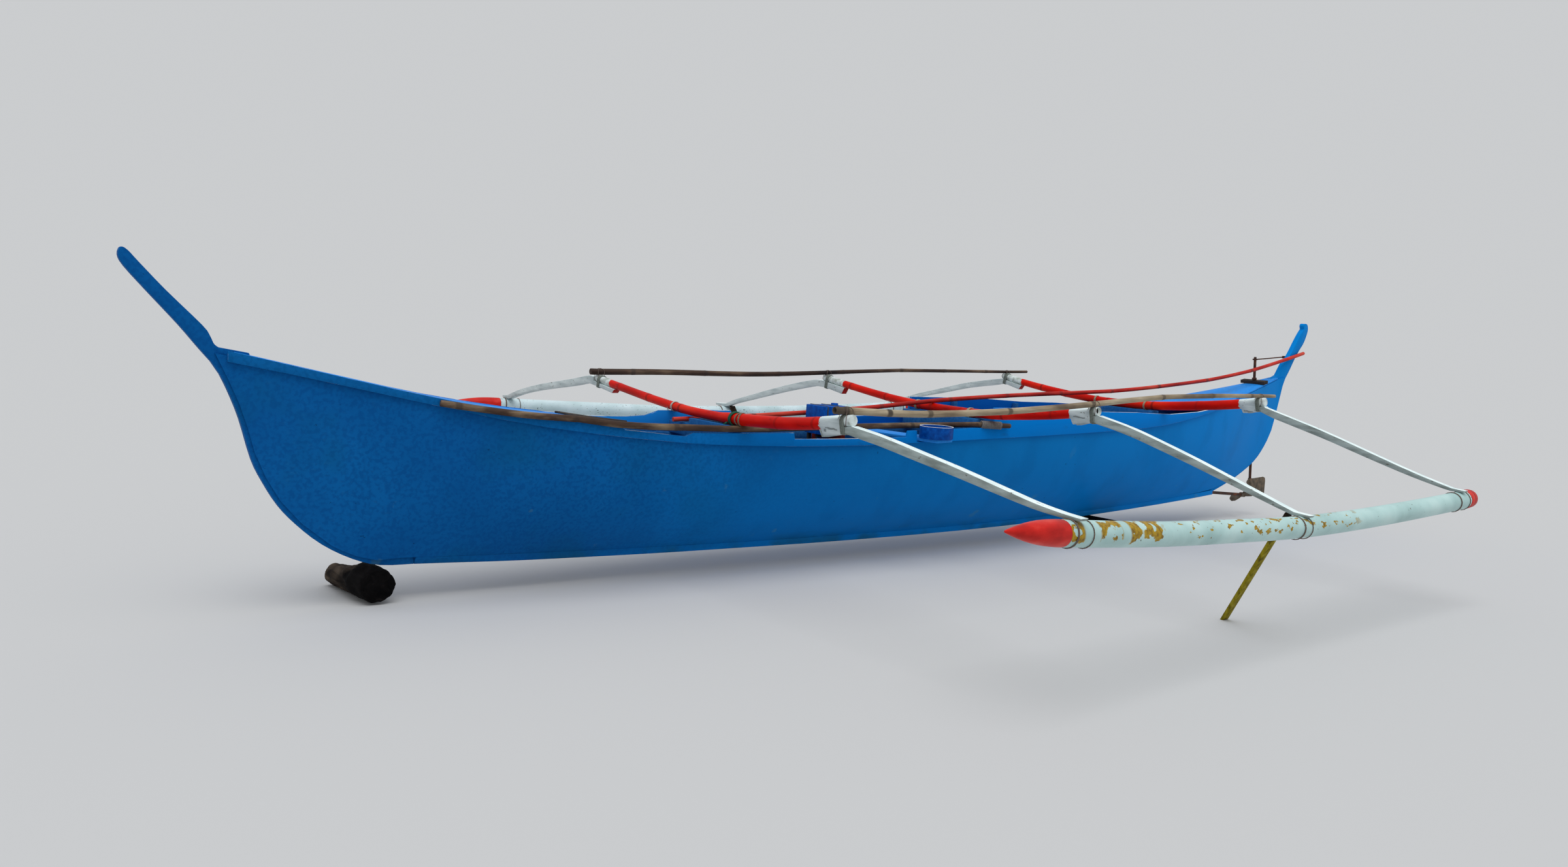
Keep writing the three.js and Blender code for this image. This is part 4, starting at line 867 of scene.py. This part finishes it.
def knobbly(piece):
    """Makes a log's skin uneven with a clouds texture."""
    only(piece)
    with editing(everything=True):
        bpy.ops.mesh.subdivide(number_cuts=BARK["cuts"])
    clouds = bpy.data.textures.new(f"{piece.name}_bark", "CLOUDS")
    clouds.noise_scale = BARK["size"]
    clouds.noise_depth = BARK["depth"]
    bpy.ops.object.modifier_add(type="DISPLACE")
    bark = piece.modifiers[-1]
    bark.texture = clouds
    bark.strength = BARK["rough"]
    bark.mid_level = BARK["middle"]
    bpy.ops.object.modifier_apply(modifier=bark.name)


def logs_and_props():
    for end in ("fore", "aft"):
        piece = copy_of(f"roller_{end}", [f"roller_log_{end}"], [LOG])
        soften(piece, **LOG_EDGE)
        knobbly(piece)
        ready(piece, [f"roller_log_{end}"], 60)
    for side in SIDES:
        skin(f"prop_{side}", f"prop_stick_{side}", [PROP], PROP_EDGE)


# Engine. Shares of a block's smallest size and of a drum's radius, for their raised panels and lips
PANEL = {"facing": 0.9, "inset": 0.18, "rise": 0.06}
LIP = {"inset": 0.16, "slope": 0.04, "sunk": 0.08}
DRUM_TURNS = {"x": (0, math.pi / 2, 0), "y": (math.pi / 2, 0, 0), "z": (0, 0, 0)}


def fresh(primitive, finish, **shape):
    """A new cube or cylinder in its place, with its finish."""
    nothing_selected()
    primitive(**shape)
    bpy.ops.object.transform_apply()
    bpy.context.object.data.materials.append(finish)
    return bpy.context.object


def block(centre, size, round_edge, finish):
    """A box with rounded edges and a raised panel on its top."""
    piece = fresh(bpy.ops.mesh.primitive_cube_add, finish, size=1, location=centre, scale=size)
    pick(piece, lambda face: face.normal.z > PANEL["facing"])
    with editing("FACE"):
        bpy.ops.mesh.inset(thickness=min(size) * PANEL["inset"])
        bpy.ops.mesh.extrude_region_move(TRANSFORM_OT_translate={"value": (0, 0, min(size) * PANEL["rise"])})
    soften(piece, round_edge, flat=False)
    return piece


def drum(centre, radius, depth, letter, round_edge, finish, sides=28):
    """A round body along an axis, both of its ends with a raised lip."""
    piece = fresh(bpy.ops.mesh.primitive_cylinder_add, finish, vertices=sides, radius=radius, depth=depth,
                  location=centre, rotation=DRUM_TURNS[letter])
    pick(piece, lambda face: abs(face.normal[AXES[letter]]) > PANEL["facing"])
    with editing("FACE"):
        bpy.ops.mesh.inset(thickness=radius * LIP["inset"])
        bpy.ops.mesh.inset(thickness=radius * LIP["slope"], depth=-radius * LIP["sunk"])
    soften(piece, round_edge, sharp=40, flat=False)
    return piece


def fused(name, pieces):
    """Joins loose pieces into one."""
    nothing_selected()
    for piece in pieces:
        piece.select_set(True)
    bpy.context.view_layer.objects.active = pieces[0]
    bpy.ops.object.join()
    piece = bpy.context.object
    piece.name = name
    return piece


# Engine blocks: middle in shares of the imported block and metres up, size in shares and metres, edge, finish
SUMP_BLOCKS = (
    *(((0, y, -0.47), 0, (1, 0, 0), (0, 0.045, 0.024), 0.003, RUST) for y in (-0.42, 0.42)),
    ((0, 0, -0.41), 0, (0.8, 0.94, 0), (0, 0, 0.03), 0.004, IRON),
    ((-0.02, 0, -0.18), 0, (0.56, 0.6, 0), (0, 0, 0.2), 0.014, IRON),
)
FIN_BLOCKS = tuple(((0, -0.16, 0.13), up, (0.42, 0.44, 0), (0, 0, 0.007), 0.0015, IRON)
                   for up in (0, 0.018, 0.036, 0.054, 0.072))
BARREL_BLOCKS = (
    ((0, -0.16, 0.2), 0, (0.32, 0.34, 0), (0, 0, 0.16), 0.006, IRON),
    ((0, -0.16, 0.5), -0.028, (0.4, 0.42, 0), (0, 0, 0.05), 0.01, SHROUD),
    *(((0.33, y, 0.5), -0.09, (0, 0, 0), (0.022, 0.018, 0.178), 0.002, IRON) for y in (-0.26, 0.0)),
)
CARBURETTOR = ((0.12, 0.12, 0.16), 0, (0, 0, 0), (0.05, 0.07, 0.045), 0.006, IRON)

# Engine drums: middle in shares, radius, length in shares and metres, axis, edge, finish, sides
FAN_DRUMS = (
    ((0.33, 0, -0.08), 0.118, 0.2, 0, "x", 0.006, SHROUD, 36),
    ((0.46, 0, -0.08), 0.06, 0.07, 0, "x", 0.004, IRON, 28),
)
SILENCER = ((-0.02, 0.3, 0.18), 0.048, 0.62, 0, "x", 0.006, RUST, 28)
FILTER_DRUMS = (
    ((0.3, 0.18, 0.34), 0.05, 0, 0.085, "z", 0.006, TANK, 28),
    ((-0.26, 0.3, 0.3), 0.014, 0, 0.05, "z", 0.002, RUST, 16),
)
BOLT_DRUMS = tuple(((x, y, -0.385), 0.011, 0, 0.022, "z", 0.0015, RUST, 6)
                   for x in (-0.36, 0.36) for y in (-0.42, 0.42))

# On the propeller shaft's line: share along the block, radius, length in shares, edge, sides
SHAFT_DRUMS = ((-0.37, 0.062, 0.09, 0.003, 28), (-0.44, 0.026, 0.11, 0.002, 16))
SHAFT_SEEN_FROM = 0.03
PLUG = (-0.18, -0.16, 0.4)
PLUG_LEAD = ((0, 0, 0), (-0.018, 0, 0.014), (-0.03, 0.01, 0.006), (-0.034, 0.02, -0.03),
             (-0.03, 0.03, -0.07), (-0.015, 0.035, -0.1))
PLUG_LEAD_THICK = 0.007


def engine():
    """A small petrol engine: sump, finned barrel, fan shroud, silencer, air cleaner and shaft pulley."""
    low, high = (Vector(corner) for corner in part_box("engine_block"))
    size = high - low
    middle = (high + low) / 2

    def at(shares):
        """A place in the engine's box, each share from -0.5 to 0.5."""
        return middle + Vector([share * full for share, full in zip(shares, size)])

    def blocks(rows):
        return [block(at(place) + Vector((0, 0, up)),
                      [share * full + more for share, full, more in zip(shares, size, metres)], edge, finish)
                for place, up, shares, metres, edge, finish in rows]

    def drums(rows):
        return [drum(at(place), radius, size.x * share + metres, letter, edge, finish, sides)
                for place, radius, share, metres, letter, edge, finish, sides in rows]

    parts = blocks(SUMP_BLOCKS) + drums(FAN_DRUMS)
    shaft = pole_line("propeller_shaft", "x", low.x - SHAFT_SEEN_FROM)
    for share, radius, length, edge, sides in SHAFT_DRUMS:
        place = Vector((at((share, 0, 0)).x, 0, shaft.z))
        parts.append(drum(place, radius, size.x * length, "x", edge, RUST, sides))
    parts += blocks(FIN_BLOCKS + BARREL_BLOCKS) + drums([SILENCER]) + blocks([CARBURETTOR])
    parts += drums(FILTER_DRUMS + BOLT_DRUMS)
    ready(fused("engine", parts), ["engine_block"])
    cord_piece("plug_lead", [at(PLUG) + Vector(step) for step in PLUG_LEAD], PLUG_LEAD_THICK, "dark")


# Tank, tub and metalwork
TANK_EDGE = 0.008
STRAP = {"along": (0.42, 0.85), "proud": 0.001, "foot": 0.01, "shoulder": 0.022, "corner": 0.006,
         "top": 0.0135, "thick": 0.008}
TUB_EDGE = {"round": 0.0015, "rim": 0.006}

# Metal and bearing: name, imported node, finish, slot, width of the rounded edge, body
FITTINGS = (
    ("stern_tube_pipe", "stern_tube", RUST, "rusty_steel", 0.001, "canoe"),
    ("rudder_bearing", "rudder_block", DARK_WOOD, "dark_wood", 0.003, "canoe"),
    ("rudder_stay_rod", "rudder_stay", RUST, "rusty_steel", 0.0, "canoe"),
    ("stock", "rudder_stock", RUST, "rusty_steel", 0.001, "rudder"),
    ("blade", "rudder_blade", BLADE, "rusty_steel", 0.0012, "rudder"),
    ("shaft", "propeller_shaft", RUST, "rusty_steel", 0.001, "screw"),
    ("screw_blades", "propeller", BRONZE, "bronze", 0.0012, "screw"),
)


def tank():
    """The fuel tank, with two straps over it."""
    skin("tank", "fuel_tank", [TANK], TANK_EDGE)
    low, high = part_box("fuel_tank")
    rise = ((-STRAP["proud"], low[2] + STRAP["foot"]), (-STRAP["proud"], high[2] - STRAP["shoulder"]),
            (STRAP["corner"], high[2] - STRAP["top"]))
    for k, share in enumerate(STRAP["along"]):
        x = low[0] + (high[0] - low[0]) * share
        line = [(x, low[1] + inset, z) for inset, z in rise]
        line += [(x, high[1] - inset, z) for inset, z in reversed(rise)]
        cord_piece(f"tank_strap_{k}", line, STRAP["thick"], "dark")


def tub():
    """The cut-down tub, its rim worn white."""
    piece = copy_of("tub_shell", ["tub"], [TUB, TUB_RIM])
    soften(piece, TUB_EDGE["round"])
    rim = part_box("tub")[1][2] - TUB_EDGE["rim"]
    for face in piece.data.polygons:
        if face.center.z > rim:
            face.material_index = 1
    ready(piece, ["tub"])


def machinery():
    engine()
    tank()
    tub()
    for name, node, finish, slot, edge, body in FITTINGS:
        skin(name, node, [finish], edge, body=body)


# Lashings: cord pulled tight round whatever lies inside its loop
LOOP_STEPS = 40
CORD_ROUND = 10
POLE_STEP = 0.02


def cut_points(nodes, centre, along, reach):
    """Where a plane cuts these nodes near a centre, in the plane's own two directions."""
    across = along.cross(Vector((0, 0, 1))).normalized()
    upward = across.cross(along).normalized()
    points = []
    for node in nodes:
        mesh = NODES[node].data
        heights = [(v.co - centre).dot(along) for v in mesh.vertices]
        for edge in mesh.edges:
            a, b = edge.vertices
            if heights[a] * heights[b] < 0:
                share = heights[a] / (heights[a] - heights[b])
                spot = mesh.vertices[a].co.lerp(mesh.vertices[b].co, share) - centre
                if spot.length < reach:
                    points.append((spot.dot(across), spot.dot(upward)))
    return points, across, upward


def tight_loop(points, thick):
    """The line of a cord pulled tight round these points, evenly divided."""
    circle = [(math.cos(a) * thick / 2, math.sin(a) * thick / 2)
              for a in (2 * math.pi * k / CORD_ROUND for k in range(CORD_ROUND))]
    swept = [Vector((x + dx, y + dy)) for x, y in points for dx, dy in circle]
    outline = [swept[i] for i in geometry.convex_hull_2d(swept)]
    lengths = [(outline[i - 1] - p).length for i, p in enumerate(outline)]
    total = sum(lengths)
    loop, run, i = [], 0.0, 0
    for k in range(LOOP_STEPS):
        goal = total * k / LOOP_STEPS
        while run + lengths[i] < goal:
            run += lengths[i]
            i += 1
        loop.append(outline[i - 1].lerp(outline[i], (goal - run) / lengths[i]))
    return loop


def cord_piece(name, points, thick, colour):
    """A round cord along these points, as a closed mesh."""
    line = bpy.data.curves.new(name, "CURVE")
    line.dimensions = "3D"
    line.bevel_depth = thick / 2
    line.bevel_resolution = 1
    line.use_fill_caps = True
    spline = line.splines.new("POLY")
    spline.points.add(len(points) - 1)
    for spot, point in zip(spline.points, points):
        spot.co = (*point, 1)
    stand(name, line, CORD[colour])
    bpy.ops.object.convert(target="MESH")
    ready(bpy.context.object, smooth=70)


def lashing(name, nodes, centre, along, turns, thick, colour, reach=0.12, pitch=1.0):
    """Turns of cord wound side by side round the nodes inside reach."""
    along = Vector(along).normalized()
    points, across, upward = cut_points(nodes, centre, along, reach)
    loop = tight_loop(points, thick)
    wound = []
    for k in range(turns * LOOP_STEPS + 1):
        spot = loop[k % LOOP_STEPS]
        shift = (k / LOOP_STEPS - turns / 2) * thick * pitch
        wound.append(centre + across * spot.x + upward * spot.y + along * shift)
    cord_piece(name, wound, thick, colour)


def crossings(node, letter, place):
    """Where a node's edges pass a place on an axis."""
    spots = []
    mesh = NODES[node].data
    index = AXES[letter]
    for edge in mesh.edges:
        a, b = (mesh.vertices[i].co for i in edge.vertices)
        if (a[index] - place) * (b[index] - place) < 0:
            spots.append(a.lerp(b, (place - a[index]) / (b[index] - a[index])))
    return spots


def pole_line(node, letter, place):
    """The middle of a pole where it passes a place on an axis."""
    spots = crossings(node, letter, place)
    low, high = (Vector([end(spot[i] for spot in spots) for i in range(3)]) for end in (min, max))
    return (low + high) / 2


def pole_way(node, letter, place, step=POLE_STEP):
    """The middle of a pole at a place, and the way to its middle one step on."""
    centre = pole_line(node, letter, place)
    return centre, pole_line(node, letter, place + step) - centre


# The sleeves' section is cut a little back from the end; its rings: share of the length, how far it grows
SLEEVE = {"back": 0.02, "reach": 0.12, "thick": 0.005, "lean": 0.3, "half": 0.03, "edge": 0.003}
SLEEVE_RINGS = ((0.0, -0.0015), (0.02, 0.0), (0.5, 0.0), (1.0, 0.0))


def sleeve(name):
    """The white sleeve round the beam and the arm's root at the port end."""
    beam, arm = f"cross_beam_{name}", f"arm_{name}_port"
    first, last = BEAMS[name]["sleeve"]
    centre, along = pole_way(beam, "y", last - SLEEVE["back"], SLEEVE["back"])
    along.normalize()
    points, across, upward = cut_points([beam, arm], centre, along, SLEEVE["reach"])
    loop = tight_loop(points, SLEEVE["thick"])
    vertices = []
    for share, grow in SLEEVE_RINGS:
        middle = pole_line(beam, "y", first + (last - first) * share)
        lean = SLEEVE["lean"] * (1 - share)
        scale = 1 + grow / SLEEVE["half"]
        vertices += [middle + across * (p.x * scale) + upward * (p.y * scale) - along * p.y * lean
                     for p in loop]
    count = len(loop)
    faces = [(i + j, i + (j + 1) % count, i + count + (j + 1) % count, i + count + j)
             for i in range(0, len(vertices) - count, count) for j in range(count)]
    faces += [tuple(range(count)), tuple(range(len(vertices) - count, len(vertices)))]
    mesh = bpy.data.meshes.new(f"sleeve_{name}")
    mesh.from_pydata(vertices, [], faces)
    piece = stand(mesh.name, mesh, arm_white(f"sleeve_white_{name}", "starboard", SLEEVE_GAP_SHADES[name]))
    with editing(everything=True):
        bpy.ops.mesh.normals_make_consistent()
    soften(piece, SLEEVE["edge"], sharp=60, flat=False)
    ready(piece, smooth=50)


END_BAND = {"turns": 4, "thick": 0.0065, "colour": "grey", "pitch": 1.1}
END_BAND_DROP = Vector((0, 0, 0.02))


def beam_end_lashings():
    """Turns of grey cord round each beam's end and the arm under it."""
    for name, beam in BEAMS.items():
        for (side, sign), y in zip(SIDES.items(), beam["bands"]):
            bundle = [f"cross_beam_{name}", f"arm_{name}_{side}"]
            centre, along = pole_way(bundle[0], "y", sign * y, -sign * POLE_STEP)
            lashing(f"end_band_{name}_{side}", bundle, centre - END_BAND_DROP, along, **END_BAND)


# How often the rings of cord before and behind an arm go round the float
RING_TURNS = {"fore": 2, "aft": 1}
RING_THICK = 0.0045


def float_lashings():
    """Thin rings of cord round each float, one on each side of an arm."""
    for name, beam in BEAMS.items():
        for side in SIDES:
            for x, (label, turns) in zip(beam["rings"], RING_TURNS.items()):
                lashing(f"float_ring_{name}_{side}_{label}", [f"float_{side}"],
                        *pole_way(f"float_{side}", "x", x), turns, RING_THICK, "taupe")


# Ties round the beams over the hull: name, beam, y, colour, turns, cord's thickness, lean
HULL_TIES = (
    ("tie_fore_green", "fore", 0.298, "green", 4, 0.008, 0.3),
    ("tie_fore_coil", "fore", 0.348, "brown", 3, 0.005, 0.35),
    ("tie_fore_cross", "fore", 0.358, "brown", 2, 0.005, -0.35),
    ("tie_fore_white", "fore", -0.31, "white", 3, 0.005, 0.1),
    ("tie_aft_port", "aft", 0.237, "beige", 3, 0.005, 0.1),
    ("tie_aft_starboard", "aft", -0.208, "beige", 3, 0.005, -0.1),
    ("tie_mid_port", "mid", 0.24, "beige", 3, 0.006, 0.1),
    ("tie_mid_starboard", "mid", -0.24, "beige", 3, 0.006, -0.1),
)
HULL_TIE_REACH = 0.09
STAY = {"x": 1.7, "apart": 0.005, "sunk": 0.004, "thick": 0.005}
GREEN_TAIL = ((1.712, 0.262, 0.872), (1.722, 0.236, 0.85), (1.724, 0.205, 0.826), (1.72, 0.176, 0.806))
GREEN_TAIL_SPREAD = 0.007
GREEN_TAIL_THICK = 0.009


def hull_ties():
    """Ties where the beams cross the hull, one with a short tail, and a stay down to the far strake."""
    for label, name, y, colour, turns, thick, lean in HULL_TIES:
        beam = f"cross_beam_{name}"
        lashing(label, [beam], pole_line(beam, "y", y), (lean, 1, 0), turns, thick, colour, HULL_TIE_REACH)
    board = max(crossings("upper_strake_starboard", "x", STAY["x"]), key=lambda spot: spot.z)
    top = pole_line("cross_beam_fore", "y", board.y).z
    for k, sign in enumerate((-1, 1)):
        x = STAY["x"] + sign * STAY["apart"]
        stay = [Vector((x, board.y, z)) for z in (top, (top + board.z) / 2, board.z - STAY["sunk"])]
        cord_piece(f"white_stay_{k}", stay, STAY["thick"], "white")
    for k, spread in enumerate((0.0, GREEN_TAIL_SPREAD)):
        tail = [Vector(p) + Vector((0, spread * (i - 1), spread * i / 2)) for i, p in enumerate(GREEN_TAIL)]
        cord_piece(f"green_tail_{k}", tail, GREEN_TAIL_THICK, "green")


POLE_TIE = {"turns": 1, "thick": 0.003, "colour": "taupe", "reach": 0.075}
POLE_TIE_DROP = Vector((0, 0, 0.025))
WRAP = {"turns": 18, "thick": 0.008, "colour": "frayed", "reach": 0.06}
WRAP_X = -0.19


def pole_lashings():
    """Crossed ties where the stowed poles lie on the beams, and a wrap near the gunwale pole's end."""
    for name, beam in BEAMS.items():
        for side in SIDES:
            pole = f"pole_{side}"
            centre = pole_line(pole, "x", beam["x"]) - POLE_TIE_DROP
            for label, lean in (("left", 1), ("right", -1)):
                lashing(f"pole_tie_{name}_{side}_{label}", [pole, f"cross_beam_{name}"], centre, (1, lean, 0),
                        **POLE_TIE)
    lashing("gunwale_pole_wrap", ["pole_gunwale"], *pole_way("pole_gunwale", "x", WRAP_X), **WRAP)


set_up_camera()
set_up_studio()
hull()
beams()
floats()
stowed_poles()
logs_and_props()
machinery()
beam_end_lashings()
float_lashings()
hull_ties()
pole_lashings()
